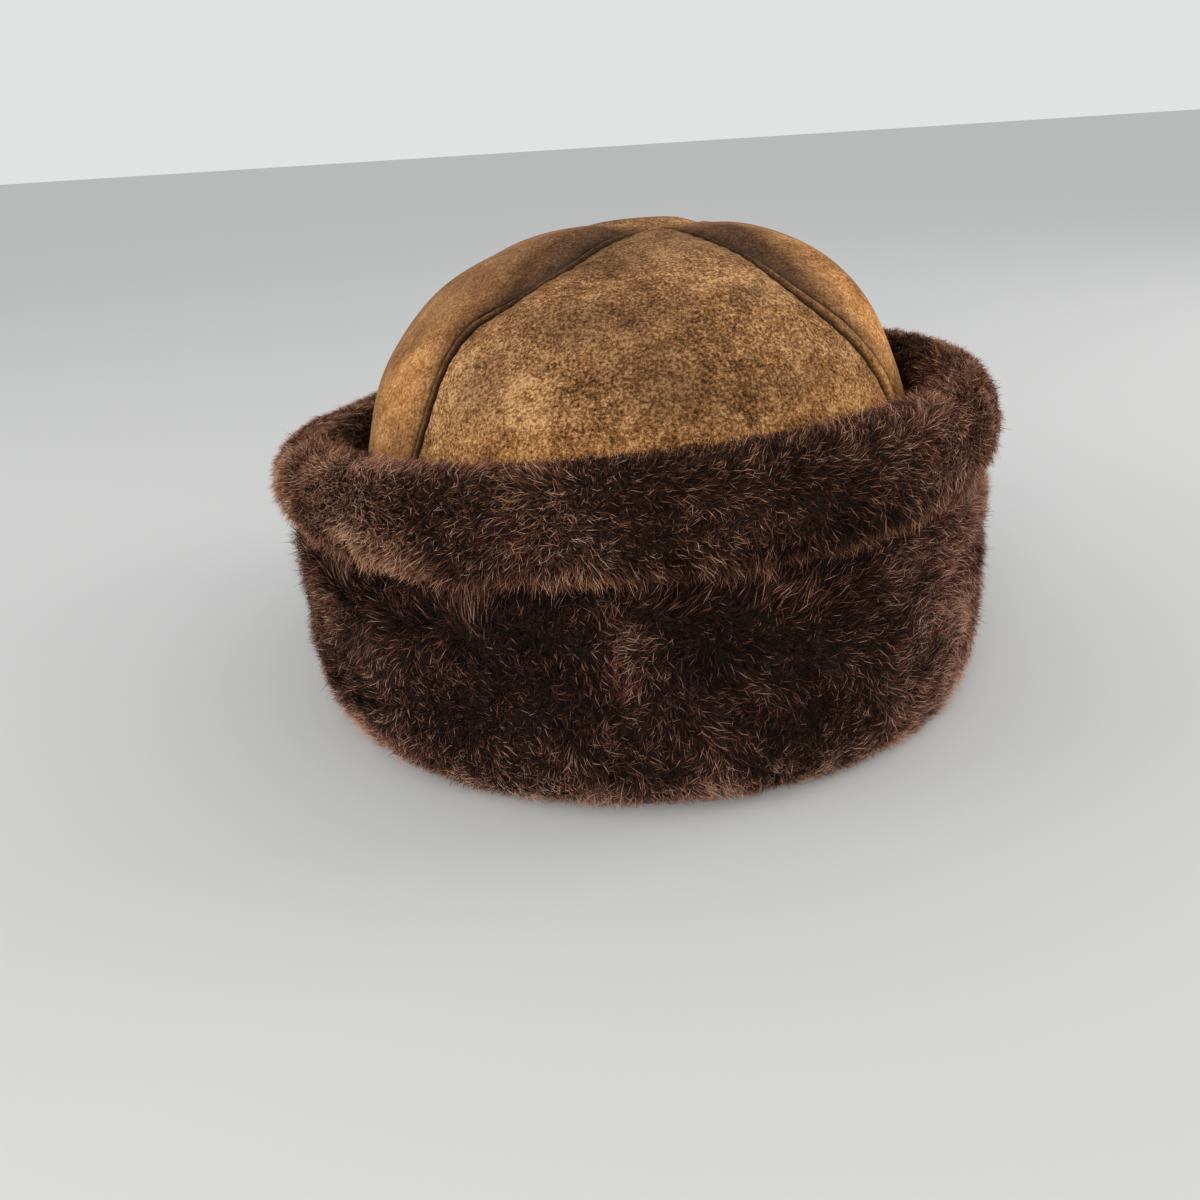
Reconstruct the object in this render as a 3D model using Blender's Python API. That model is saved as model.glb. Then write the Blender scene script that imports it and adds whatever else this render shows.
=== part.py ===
"""Sheepskin hat at its real size: metres, +Z up, front towards -Y, standing on Z = 0.

Four suede gores make the domed crown. A thin hide band starts in a fold under the crown's lower edge and
stands up round it. The hide carries two rings of fleece: a lower band, and a roll that overhangs the band
at a long groove and turns over the hide's top edge to the inside.

Azimuth runs round the hat from the front towards +X. Distances called "out" are measured from the crown's
plan oval along the oval's normal.
"""

import math
from typing import NamedTuple

import bpy
import numpy as np

MM = 0.001
GAP = 0.3 * MM

# Plan oval of the crown, shared by the cuff
CROWN_HALF_WIDTH = 100 * MM
CROWN_HALF_LENGTH = 111 * MM
PLAN_POWER = 2.12

# Crown: straight wall up to the spring line, then a dome of the shoulder power up to the height
CROWN_HEIGHT = 151.5 * MM
SPRING_HEIGHT = 25 * MM
SHOULDER_POWER = 2.9
DOME_PROFILE = 195 * MM
CROWN_LEAN_X = 11 * MM
CROWN_LEAN_Y = 8.5 * MM
LEAN_POWER = 4
GORE_WALL = 3 * MM
SEAM_VALLEY = 0.6 * MM
VALLEY_REACH = 9 * MM
RELIEF_FADE = 0.25
WELT_HEIGHT = 0.9 * MM
WELT_WIDTH = 4.5 * MM
TIP_RADIUS = 0.9 * MM

# Cuff hide: a thin skin with a fold turned in under the crown
HIDE_THICKNESS = 2 * MM
HIDE_OUT = 8.5 * MM
FOLD_BOTTOM = 6 * MM
FOLD_IN = -3.2 * MM
FOLD_BEND = 1.5 * MM
FLEECE_OVER_HIDE_EDGE = 11 * MM

# Cuff heights: groove and top edge, each a mean with a front-to-back and a left-to-right change
GROOVE_HEIGHT = 74 * MM
GROOVE_FRONT = 0 * MM
GROOVE_RIGHT = 4 * MM
TOP_HEIGHT = 101 * MM
TOP_FRONT = 8 * MM
TOP_RIGHT = 6 * MM

# Slump of the top edge at the left back: azimuth and reach in degrees, and depth
SLUMP_AZIMUTH = 243
SLUMP_REACH = 34
SLUMP_DEPTH = 6 * MM

# Locks of the fleece: spacing round the cuff and up it, relief, and how far a lock spreads over its spacing
LOCK_WIDTH = 26 * MM
LOCK_LENGTH = 21 * MM
LOCK_RELIEF = 3.4 * MM
LOCK_SPREAD = 0.8
LOCK_SHIFT = 0.3
LOCK_MEAN = 0.75
LOCK_SEED = 7
FLEECE_OUT = 25 * MM

# Height that spaces the samples of a fleece section evenly
SECTION_HEIGHT = 80 * MM

# Facets
FLEECE_COLUMNS = 100
HIDE_COLUMNS = 60
GORE_COLUMNS = 9
GORE_ROWS = 13

# Columns beside a seam: distance from the gore's edge, and its largest share of the gore's width
EDGE_STEPS = ((0, 0), (1.1 * MM, 0.05), (3.4 * MM, 0.12), (WELT_WIDTH, 0.18))

# The uneven fleece reaches further on one side, so this puts the origin in the middle of the whole hat
CENTRE_SHIFT = (2.6 * MM, -1.5 * MM, 0)


class Seam(NamedTuple):
    """A seam between two gores: its azimuths at the foot and the tip, and the rises between which it turns."""

    name: str
    foot: float
    tip: float
    turns_from: float
    turns_to: float


class Gore(NamedTuple):
    """A crown panel between two seams: how far it bulges, and whether it has a welt beside each seam."""

    name: str
    first_seam: str
    last_seam: str
    bulge: float
    welted: bool


class Dent(NamedTuple):
    """A soft hollow, or a swelling where the depth is negative, in the crown."""

    name: str
    azimuth: float
    rise: float
    depth: float
    width: float
    length: float


class Finish(NamedTuple):
    """Colour and roughness of a sub-part's material."""

    name: str
    colour: tuple
    roughness: float


class Section(NamedTuple):
    """A station of a fleece ring's cross section: distance out, height, and share of the lock relief."""

    out: float
    height: float
    locks: float


SEAMS = {
    "front_right": Seam("front_right", 54, 32, 0.37, 0.72),
    "back_right": Seam("back_right", 132, 139, 0.40, 0.75),
    "back_left": Seam("back_left", 228, 221, 0.40, 0.75),
    "front_left": Seam("front_left", 305, 319.5, 0.58, 0.76),
}

GORES = (
    Gore("gore_front", "front_left", "front_right", 0.4 * MM, False),
    Gore("gore_right", "front_right", "back_right", 0.7 * MM, True),
    Gore("gore_back", "back_right", "back_left", 2.8 * MM, False),
    Gore("gore_left", "back_left", "front_left", 2.0 * MM, True),
)

DENTS = (
    Dent("hollow beside the left seam", 308, 0.74, 3.6 * MM, 8 * MM, 32 * MM),
    Dent("hollow beside the right seam", 41, 0.75, 2.2 * MM, 7 * MM, 26 * MM),
    Dent("fold of the right gore", 62, 0.66, -1.8 * MM, 9 * MM, 34 * MM),
    Dent("fold of the left gore", 288, 0.80, -1.2 * MM, 12 * MM, 24 * MM),
    Dent("blunt tip of the front gore", 0, 0.95, -1.2 * MM, 14 * MM, 12 * MM),
    Dent("slack in the front gore", 8, 0.42, 1.2 * MM, 34 * MM, 26 * MM),
)

# Cross sections. Heights of the band are shares of the groove height, those of the roll are shares of the
# way from the groove to the top edge.
BAND_OUTSIDE = (
    Section(15.5 * MM, 0.00, 0.0),
    Section(20.5 * MM, 0.045, 0.5),
    Section(23.5 * MM, 0.16, 1.0),
    Section(24.5 * MM, 0.40, 1.0),
    Section(24.5 * MM, 0.64, 1.0),
    Section(24.5 * MM, 0.84, 0.8),
    Section(22.0 * MM, 0.96, 0.2),
    Section(15.5 * MM, 1.00, 0.0),
)
ROLL_OUTSIDE = (
    Section(15.5 * MM, 0.03, 0.0),
    Section(22.0 * MM, -0.06, 0.4),
    Section(27.0 * MM, 0.12, 1.0),
    Section(28.0 * MM, 0.38, 1.0),
    Section(26.5 * MM, 0.66, 1.0),
    Section(22.0 * MM, 0.90, 0.9),
    Section(14.5 * MM, 1.00, 0.7),
    Section(7.0 * MM, 0.97, 0.5),
    Section(3.0 * MM, 0.82, 0.3),
    Section(1.8 * MM, 0.55, 0.2),
    Section(5.0 * MM, 0.30, 0.0),
)
BAND_SAMPLES = 12
ROLL_SAMPLES = 14

# How much further out than its section each ring stands: at the front, and on the right
ROLL_FRONT = -1.5 * MM
ROLL_RIGHT = -2.5 * MM
BAND_FRONT = 0.5 * MM
BAND_RIGHT = -1.0 * MM


FINISHES = {
    "gore_front": Finish("brown_suede", (0.27, 0.14, 0.066), 0.9),
    "gore_right": Finish("worn_tan_suede", (0.38, 0.22, 0.11), 0.9),
    "gore_back": Finish("dark_brown_suede", (0.25, 0.13, 0.06), 0.9),
    "gore_left": Finish("tan_suede", (0.33, 0.17, 0.075), 0.9),
    "cuff_hide": Finish("cuff_skin", (0.22, 0.12, 0.06), 0.85),
    "cuff_fleece": Finish("band_wool", (0.028, 0.014, 0.011), 0.8),
    "cuff_roll": Finish("roll_wool", (0.036, 0.019, 0.014), 0.8),
}


def oval(azimuth, half_width, half_length):
    """Superellipse round the Z axis: half size times the signed sine or cosine to the power 2 / PLAN_POWER.

    Returns x, y and the outward normal's x and y, as arrays like the azimuth in radians.
    """
    across, along = np.sin(azimuth), -np.cos(azimuth)
    exponent = 2 / PLAN_POWER
    x = half_width * np.sign(across) * np.abs(across) ** exponent
    y = half_length * np.sign(along) * np.abs(along) ** exponent
    slope_x = np.sign(x) * np.abs(x / half_width) ** (PLAN_POWER - 1) / half_width
    slope_y = np.sign(y) * np.abs(y / half_length) ** (PLAN_POWER - 1) / half_length
    size = np.hypot(slope_x, slope_y)
    return x, y, slope_x / size, slope_y / size


def ring_height(azimuth, mean, front, right):
    """Height of an edge of the cuff that changes from front to back and from left to right."""
    return mean + front * np.cos(azimuth) + right * np.sin(azimuth)


def groove_height(azimuth):
    """Height of the groove between the band and the roll."""
    return ring_height(azimuth, GROOVE_HEIGHT, GROOVE_FRONT, GROOVE_RIGHT)


def top_height(azimuth):
    """Height of the cuff's top edge, which slumps at the left back."""
    turn = (azimuth - math.radians(SLUMP_AZIMUTH) + math.pi) % (2 * math.pi) - math.pi
    slump = SLUMP_DEPTH * np.exp(-((turn / math.radians(SLUMP_REACH)) ** 2))
    return ring_height(azimuth, TOP_HEIGHT, TOP_FRONT, TOP_RIGHT) - slump


def dome_angles(rows):
    """Angles from the spring line to the pole, evenly spaced along the dome's profile."""
    fine = np.linspace(0, math.pi / 2, 2001)
    reach = CROWN_HALF_WIDTH * np.cos(fine) ** (2 / SHOULDER_POWER)
    height = (CROWN_HEIGHT - SPRING_HEIGHT) * np.sin(fine) ** (2 / SHOULDER_POWER)
    length = np.concatenate([[0], np.cumsum(np.hypot(np.diff(reach), np.diff(height)))])
    return np.interp(np.linspace(0, length[-1], rows + 1), length, fine)


def seam_azimuth(name, rise):
    """Azimuth of a seam in radians, at a rise from 0 at the spring line to 1 at the pole.

    It passes from the foot's to the tip's by 3 t^2 - 2 t^3, where t runs from 0 to 1 between the two rises.
    """
    seam = SEAMS[name]
    share = np.clip((rise - seam.turns_from) / (seam.turns_to - seam.turns_from), 0, 1)
    return np.radians(seam.foot + (seam.tip - seam.foot) * share**2 * (3 - 2 * share))


def nearest_seam(azimuth, rise, reach):
    """Distance round the crown, in metres, to the nearest seam."""
    distances = [
        np.abs((azimuth - seam_azimuth(name, rise) + math.pi) % (2 * math.pi) - math.pi) for name in SEAMS
    ]
    return np.min(distances, axis=0) * reach


def crown_relief(azimuth, rise, reach, gore):
    """Height of a gore's suede over the plain dome: its bulge, less valleys and dents, plus welts."""
    to_seam = nearest_seam(azimuth, rise, reach)
    fade = np.clip(rise / RELIEF_FADE, 0, 1)
    valley = np.exp(-((to_seam / VALLEY_REACH) ** 2))
    relief = gore.bulge * (1 - valley) * fade - SEAM_VALLEY * valley * fade
    if gore.welted:
        inner_side = np.clip(to_seam / (0.2 * WELT_WIDTH), 0, 1)
        outer_side = np.clip((WELT_WIDTH - to_seam) / (0.25 * WELT_WIDTH), 0, 1)
        relief = relief + WELT_HEIGHT * inner_side * outer_side
    for dent in DENTS:
        turn = (azimuth - math.radians(dent.azimuth) + math.pi) % (2 * math.pi) - math.pi
        aside = turn * np.maximum(reach, 0.2 * CROWN_HALF_WIDTH) / dent.width
        along = (rise - dent.rise) * DOME_PROFILE / dent.length
        relief = relief - dent.depth * np.exp(-(aside**2) - along**2)
    return relief


def crown_point(azimuth, angle, rise, depth, gore):
    """Point of the crown: the dome of the plan oval, smaller by the depth, moved out by the relief.

    The dome's profile is cosine and sine of the angle to the power 2 / SHOULDER_POWER.
    """
    reach = np.cos(angle) ** (2 / SHOULDER_POWER)
    lift = np.sin(angle) ** (2 / SHOULDER_POWER)
    x, y, out_x, out_y = oval(azimuth, CROWN_HALF_WIDTH - depth, CROWN_HALF_LENGTH - depth)
    steep = reach ** (SHOULDER_POWER - 1) / CROWN_HALF_WIDTH
    flat = lift ** (SHOULDER_POWER - 1) / (CROWN_HEIGHT - SPRING_HEIGHT)
    size = np.hypot(steep, flat)
    relief = crown_relief(azimuth, rise, reach * CROWN_HALF_WIDTH, gore)
    height = SPRING_HEIGHT + (CROWN_HEIGHT - SPRING_HEIGHT - depth) * lift
    lean = lift**LEAN_POWER
    return np.stack(
        [
            x * reach + relief * out_x * steep / size + CROWN_LEAN_X * lean,
            y * reach + relief * out_y * steep / size + CROWN_LEAN_Y * lean,
            height + relief * flat / size,
        ],
        -1,
    )


def gore_grid(gore, depth):
    """Rows of points from the gore's foot to just below the pole, at one depth in the wall, and its tip."""
    angles = dome_angles(GORE_ROWS)
    rises = np.linspace(0, 1, GORE_ROWS + 1)
    grid = []
    foot = None
    for angle, rise in zip(angles[:-1], rises[:-1]):
        reach = CROWN_HALF_WIDTH * math.cos(angle) ** (2 / SHOULDER_POWER)
        first = float(seam_azimuth(gore.first_seam, rise))
        span = (float(seam_azimuth(gore.last_seam, rise)) - first) % (2 * math.pi)
        margin = 0.5 * GAP / reach
        width = (span - 2 * margin) * reach
        edges = [min(step, share * width) for step, share in EDGE_STEPS]
        inner = np.linspace(edges[-1], width - edges[-1], GORE_COLUMNS)
        across = np.concatenate([edges[:-1], inner, width - np.array(edges[-2::-1])])
        azimuth = first + margin + across / reach
        grid.append(crown_point(azimuth, angle, rise, depth, gore))
        if foot is None:
            foot = grid[0].copy()
            foot[:, 2] = FOLD_BOTTOM + HIDE_THICKNESS + GAP
    first = float(seam_azimuth(gore.first_seam, 1))
    middle = first + 0.5 * ((float(seam_azimuth(gore.last_seam, 1)) - first) % (2 * math.pi))
    near_pole = math.acos((TIP_RADIUS / CROWN_HALF_WIDTH) ** (SHOULDER_POWER / 2))
    tip = crown_point(np.array([middle]), near_pole, 1.0, depth, gore)[0]
    return np.array([foot] + grid), tip


def gore_solid(gore):
    """Vertices and faces of one gore: outer and inner skins joined along the seams, the foot and the tip."""
    outer, outer_tip = gore_grid(gore, 0)
    inner, inner_tip = gore_grid(gore, GORE_WALL)
    rows, columns = outer.shape[:2]
    count = rows * columns
    points = np.concatenate([outer.reshape(-1, 3), [outer_tip], inner.reshape(-1, 3), [inner_tip]])
    out_tip, in_start, in_tip = count, count + 1, 2 * count + 1
    faces = []

    def outside(row, column):
        return row * columns + column

    def inside(row, column):
        return in_start + row * columns + column

    for row in range(rows - 1):
        for column in range(columns - 1):
            a, b = outside(row, column), outside(row, column + 1)
            c, d = outside(row + 1, column + 1), outside(row + 1, column)
            faces.append((a, b, c, d))
            faces.append(tuple(in_start + corner for corner in (d, c, b, a)))
        last = columns - 1
        faces.append((outside(row + 1, 0), inside(row + 1, 0), inside(row, 0), outside(row, 0)))
        faces.append((outside(row, last), inside(row, last), inside(row + 1, last), outside(row + 1, last)))
    for column in range(columns - 1):
        faces.append((outside(0, column + 1), outside(0, column), inside(0, column), inside(0, column + 1)))
        faces.append((outside(rows - 1, column), outside(rows - 1, column + 1), out_tip))
        faces.append((inside(rows - 1, column + 1), inside(rows - 1, column), in_tip))
    top, last = rows - 1, columns - 1
    faces.append((out_tip, in_tip, inside(top, 0), outside(top, 0)))
    faces.append((outside(top, last), inside(top, last), in_tip, out_tip))
    return points, faces


def smooth_curve(stations, samples):
    """Points evenly spaced along a Catmull-Rom curve through the stations, an array with a row for each."""
    padded = np.vstack([2 * stations[0] - stations[1], stations, 2 * stations[-1] - stations[-2]])
    pieces = []
    steps = np.linspace(0, 1, 24, endpoint=False)[:, None]
    for start in range(len(stations) - 1):
        p0, p1, p2, p3 = padded[start : start + 4]
        pieces.append(
            0.5
            * (
                2 * p1
                + (p2 - p0) * steps
                + (2 * p0 - 5 * p1 + 4 * p2 - p3) * steps**2
                + (3 * p1 - p0 - 3 * p2 + p3) * steps**3
            )
        )
    fine = np.vstack(pieces + [stations[-1:]])
    length = np.concatenate([[0], np.cumsum(np.hypot(*np.diff(fine[:, :2], axis=0).T))])
    even = np.linspace(0, length[-1], samples)
    return np.stack([np.interp(even, length, fine[:, axis]) for axis in range(fine.shape[1])], -1)


def lock_relief(around, height):
    """Height of the fleece's locks: each lock is a rounded bump, and the highest bump counts at each point.

    The locks stand in staggered rows with seeded shifts, so that no two look alike.
    """
    circumference = math.pi * (CROWN_HALF_WIDTH + CROWN_HALF_LENGTH + 2 * FLEECE_OUT)
    per_row = int(circumference / LOCK_WIDTH)
    rows = math.ceil((TOP_HEIGHT + TOP_FRONT + TOP_RIGHT) / LOCK_LENGTH) + 1
    shifts = np.random.default_rng(LOCK_SEED).uniform(-LOCK_SHIFT, LOCK_SHIFT, (rows, per_row, 3))
    row, place = np.meshgrid(np.arange(rows), np.arange(per_row), indexing="ij")
    centre_around = (place + 0.5 * (row % 2) + shifts[..., 0]) / per_row
    centre_height = (row + shifts[..., 1]) * LOCK_LENGTH
    size = 1 + shifts[..., 2]
    aside = (around[:, None] / (2 * math.pi) - centre_around.ravel() + 0.5) % 1 - 0.5
    aside = aside * circumference / (LOCK_SPREAD * LOCK_WIDTH * size.ravel())
    along = (height[:, None] - centre_height.ravel()) / (LOCK_SPREAD * LOCK_LENGTH)
    bump = np.clip(1 - aside**2 - along**2, 0, None) ** 0.5
    return LOCK_RELIEF * (bump.max(axis=1) - LOCK_MEAN)


def fleece_section(outside, samples, low, high):
    """Rings of a fleece surface: out, height and lock share for each sample of a cross section's outside.

    The low and high edges are arrays over the azimuth, so the heights have a column for each.
    """
    stations = np.array([(s.out, s.height * SECTION_HEIGHT, s.locks) for s in outside])
    curve = smooth_curve(stations, samples)
    share = curve[:, 1] / SECTION_HEIGHT
    return curve[:, 0], low + share[:, None] * (high - low), curve[:, 2]


def ring_points(azimuth, out, height):
    """Points at a distance out from the crown's oval and at a height, for stations by columns."""
    x, y, normal_x, normal_y = oval(azimuth, CROWN_HALF_WIDTH, CROWN_HALF_LENGTH)
    return np.stack([x + normal_x * out, y + normal_y * out, height + 0 * out], -1)


def ring_solid(rings):
    """Vertices and faces of a closed ring whose cross section runs once round, anticlockwise."""
    stations, columns = rings.shape[:2]
    faces = []
    for station in range(stations):
        after = (station + 1) % stations
        for column in range(columns):
            beside = (column + 1) % columns
            faces.append(
                (
                    station * columns + column,
                    station * columns + beside,
                    after * columns + beside,
                    after * columns + column,
                )
            )
    return rings.reshape(-1, 3), faces


def spread(values, azimuth):
    """The values of the stations repeated over every column."""
    return np.array(values, float)[:, None] + 0 * azimuth


def fleece_ring(outside, samples, low, high, swell, tail_out, tail_height):
    """A fleece ring: its outside curve with locks, then the plain stations of its tail against the hide."""
    azimuth = np.arange(FLEECE_COLUMNS) * 2 * math.pi / FLEECE_COLUMNS
    out, height, locks = fleece_section(outside, samples, low(azimuth), high(azimuth))
    relief = lock_relief(np.tile(azimuth, samples), height.ravel()).reshape(height.shape)
    out = out[:, None] + (relief + swell(azimuth)) * locks[:, None]
    out = np.concatenate([out, spread(tail_out, azimuth)])
    height = np.concatenate([height, np.array([h(azimuth) for h in tail_height])])
    return ring_points(azimuth, out, height)


def level(height):
    """A height that is the same all round."""
    return lambda azimuth: height + 0 * azimuth


def hide_top(azimuth):
    """Height of the hide's top edge, inside the roll."""
    return top_height(azimuth) - FLEECE_OVER_HIDE_EDGE


def band_rings():
    """Lower fleece band: flat below, bulging outside, tucked in under the roll, flat against the hide."""
    against = HIDE_OUT + HIDE_THICKNESS + GAP
    under = FOLD_BOTTOM - GAP
    return fleece_ring(
        BAND_OUTSIDE,
        BAND_SAMPLES,
        level(0),
        groove_height,
        lambda azimuth: BAND_FRONT * np.cos(azimuth) + BAND_RIGHT * np.sin(azimuth),
        (against, against, against, FOLD_IN, FOLD_IN + 1.5 * MM, FOLD_IN + 3.5 * MM),
        (
            groove_height,
            level(0.5 * GROOVE_HEIGHT),
            level(under),
            level(under),
            level(0.35 * under),
            level(0),
        ),
    )


def roll_rings():
    """Upper roll: an overhanging outside, a turn over the hide's edge, and a slot for the hide."""
    outer_face = HIDE_OUT + HIDE_THICKNESS + GAP
    inner_face = HIDE_OUT - GAP

    def foot(azimuth):
        return groove_height(azimuth) + 2 * GAP

    def slot_top(azimuth):
        return hide_top(azimuth) + GAP

    def inner_foot(azimuth):
        return foot(azimuth) + ROLL_OUTSIDE[-1].height * (top_height(azimuth) - foot(azimuth))

    return fleece_ring(
        ROLL_OUTSIDE,
        ROLL_SAMPLES,
        foot,
        top_height,
        lambda azimuth: ROLL_FRONT * np.cos(azimuth) + ROLL_RIGHT * np.sin(azimuth),
        (inner_face, inner_face, outer_face, outer_face),
        (inner_foot, slot_top, slot_top, foot),
    )


def hide_rings():
    """Hide band: the turned-in fold at the foot and the upright skin, as one L-shaped cross section."""
    azimuth = np.arange(HIDE_COLUMNS) * 2 * math.pi / HIDE_COLUMNS
    face = HIDE_OUT + HIDE_THICKNESS
    fold_top = FOLD_BOTTOM + HIDE_THICKNESS
    out = (FOLD_IN, HIDE_OUT, face, face, HIDE_OUT, HIDE_OUT, HIDE_OUT - FOLD_BEND, FOLD_IN)
    heights = (
        level(FOLD_BOTTOM),
        level(FOLD_BOTTOM),
        level(FOLD_BOTTOM + FOLD_BEND),
        hide_top,
        hide_top,
        level(fold_top + FOLD_BEND),
        level(fold_top),
        level(fold_top),
    )
    return ring_points(azimuth, spread(out, azimuth), np.array([h(azimuth) for h in heights]))


def make_material(finish):
    """Principled material of one sub-part; leather and wool have no metallic part."""
    material = bpy.data.materials.new(finish.name)
    material.use_nodes = True
    shader = material.node_tree.nodes["Principled BSDF"]
    shader.inputs["Base Color"].default_value = (*finish.colour, 1)
    shader.inputs["Roughness"].default_value = finish.roughness
    shader.inputs["Metallic"].default_value = 0
    return material


def make_object(name, points, faces, material):
    """Mesh object of one sub-part, shaded smooth apart from its sharp edges."""
    mesh = bpy.data.meshes.new(name)
    mesh.from_pydata((points + np.array(CENTRE_SHIFT)).tolist(), [], faces)
    mesh.validate()
    mesh.shade_smooth()
    mesh.set_sharp_from_angle(angle=math.radians(50))
    mesh.materials.append(material)
    part = bpy.data.objects.new(name, mesh)
    bpy.context.scene.collection.objects.link(part)
    return part


def main():
    for old in list(bpy.data.objects):
        bpy.data.objects.remove(old)
    for gore in GORES:
        make_object(gore.name, *gore_solid(gore), make_material(FINISHES[gore.name]))
    for name, rings in (("cuff_hide", hide_rings), ("cuff_fleece", band_rings), ("cuff_roll", roll_rings)):
        make_object(name, *ring_solid(rings()), make_material(FINISHES[name]))


main()
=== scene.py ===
"""Looks of a sheepskin hat: a suede crown of four gores and a turned-up cuff of dark brown fleece.

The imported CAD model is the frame. The suede gores and the fleece are worked out again here as finer
surfaces of the same form, with seams, stitches and single wool fibres. Azimuth runs round the hat from the
front towards +X, and "out" is a distance from the crown's plan oval along the oval's normal.
"""

from __future__ import annotations

import logging
import math
from abc import ABC, abstractmethod
from dataclasses import dataclass
from enum import Enum

import bpy
import numpy as np
from mathutils import Matrix

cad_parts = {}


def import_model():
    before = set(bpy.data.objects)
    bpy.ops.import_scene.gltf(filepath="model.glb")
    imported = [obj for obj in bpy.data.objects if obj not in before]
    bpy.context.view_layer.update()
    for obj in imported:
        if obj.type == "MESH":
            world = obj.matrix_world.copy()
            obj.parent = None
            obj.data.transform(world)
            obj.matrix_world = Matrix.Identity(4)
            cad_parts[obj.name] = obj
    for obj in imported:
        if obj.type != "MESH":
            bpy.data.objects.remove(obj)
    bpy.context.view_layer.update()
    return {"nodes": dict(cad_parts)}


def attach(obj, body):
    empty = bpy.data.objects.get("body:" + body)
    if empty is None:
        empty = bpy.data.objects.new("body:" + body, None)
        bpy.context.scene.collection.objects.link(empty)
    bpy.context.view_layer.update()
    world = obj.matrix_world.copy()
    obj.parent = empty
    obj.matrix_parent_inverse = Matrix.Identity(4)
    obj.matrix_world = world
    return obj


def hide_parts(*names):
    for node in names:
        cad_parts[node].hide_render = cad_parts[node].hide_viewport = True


LOG = logging.getLogger("sheepskin_hat")

MM = 0.001
TURN = 2 * math.pi
BODY = "root"
# Name of the fibres' UV map
FLEECE_MAP = "OFBake"
# Numbers of a Mix node's sockets, which have the same names for numbers and for colours
MIX_SHARE, NUMBER_A, NUMBER_B, COLOUR_A, COLOUR_B = 0, 2, 3, 6, 7
NUMBER_MIXED, COLOUR_MIXED = 0, 2

# The uneven fleece reaches further on one side, so this puts the origin in the middle of the whole hat
ORIGIN_SHIFT = np.array((2.6, -1.5, 0.0)) * MM


class Slot(Enum):
    """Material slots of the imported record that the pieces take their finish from."""

    FRONT_SUEDE = "front_suede"
    SIDE_SUEDE = "side_suede"
    BACK_SUEDE = "back_suede"
    BAND_WOOL = "band_wool"
    ROLL_WOOL = "roll_wool"


class Sector(Enum):
    """Thirds of a fleece ring's fibres, each by its name and its first azimuth in degrees."""

    FRONT = ("front", -60)
    RIGHT = ("right", 60)
    LEFT = ("left", 180)


# Small numerical helpers.


def smoothstep(value: np.ndarray, low: float, high: float) -> np.ndarray:
    """Rise from 0 to 1 between two values, as 3 t squared less 2 t cubed."""
    share = np.clip((value - low) / (high - low), 0, 1)
    return share * share * (3 - 2 * share)


def unit(vectors: np.ndarray) -> np.ndarray:
    """Vectors scaled to a length of 1 along the last axis."""
    return vectors / np.maximum(np.linalg.norm(vectors, axis=-1, keepdims=True), 1e-12)


def turn_from(azimuth: np.ndarray, start: float | np.ndarray) -> np.ndarray:
    """Turn in radians from a start to an azimuth, between minus and plus half a turn."""
    return (azimuth - start + math.pi) % TURN - math.pi


def ripple(points: np.ndarray, wavelength: float, seed: int, waves: int = 10) -> np.ndarray:
    """Smooth seeded noise: plane waves of random direction and phase, added and scaled to a spread of 1.

    Args:
        points: places in metres, with x, y and z along the last axis.
        wavelength: middle length of the waves in metres.
        seed: seed of the directions, lengths and phases.
        waves: how many waves are added.

    Returns:
        The noise at each place, without the last axis.
    """
    random = np.random.default_rng(seed)
    directions = unit(random.normal(size=(waves, 3)))
    lengths = wavelength * random.uniform(0.7, 1.4, waves)
    phases = random.uniform(0, TURN, waves)
    angles = points @ (directions / lengths[:, None]).T * TURN + phases
    return np.cos(angles).sum(axis=-1) / math.sqrt(waves / 2)


def catmull_rom(stations: np.ndarray, where: np.ndarray) -> np.ndarray:
    """Points of a Catmull-Rom curve, whose slope at a station is half the step between its neighbours.

    Args:
        stations: a row of values for each station.
        where: places along the curve, in stations from 0.

    Returns:
        A row of values for each place.
    """
    padded = np.vstack([2 * stations[0] - stations[1], stations, 2 * stations[-1] - stations[-2]])
    start = np.minimum(where.astype(int), len(stations) - 2)
    t = (where - start)[:, None]
    p0, p1, p2, p3 = (padded[start + step] for step in range(4))
    return 0.5 * (
        2 * p1 + (p2 - p0) * t + (2 * p0 - 5 * p1 + 4 * p2 - p3) * t**2 + (3 * p1 - p0 - 3 * p2 + p3) * t**3
    )


def sample_grid(grid: np.ndarray, row: np.ndarray, column: np.ndarray) -> np.ndarray:
    """Values of a grid between its points: bilinear, clipped over the rows and wrapping over the columns.

    Args:
        grid: values by rows and columns, with the values' own axis last.
        row: places over the rows, in rows.
        column: places over the columns, in columns.

    Returns:
        A row of values for each place.
    """
    rows, columns = grid.shape[:2]
    row = np.clip(row, 0, rows - 1.001)
    low_row = row.astype(int)
    down = (row - low_row)[:, None]
    floor = np.floor(column)
    left = floor.astype(int) % columns
    right = (left + 1) % columns
    across = (column - floor)[:, None]
    lower = grid[low_row, left] * (1 - across) + grid[low_row, right] * across
    upper = grid[low_row + 1, left] * (1 - across) + grid[low_row + 1, right] * across
    return lower * (1 - down) + upper * down


# Soft patches.


@dataclass(frozen=True)
class Patch:
    """Soft patch of the hat: its azimuth in degrees, its level, its amount, and its width and length.

    The level is a rise on the crown and a height in metres on the fleece.
    """

    azimuth: float
    level: float
    amount: float
    width: float
    length: float


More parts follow.
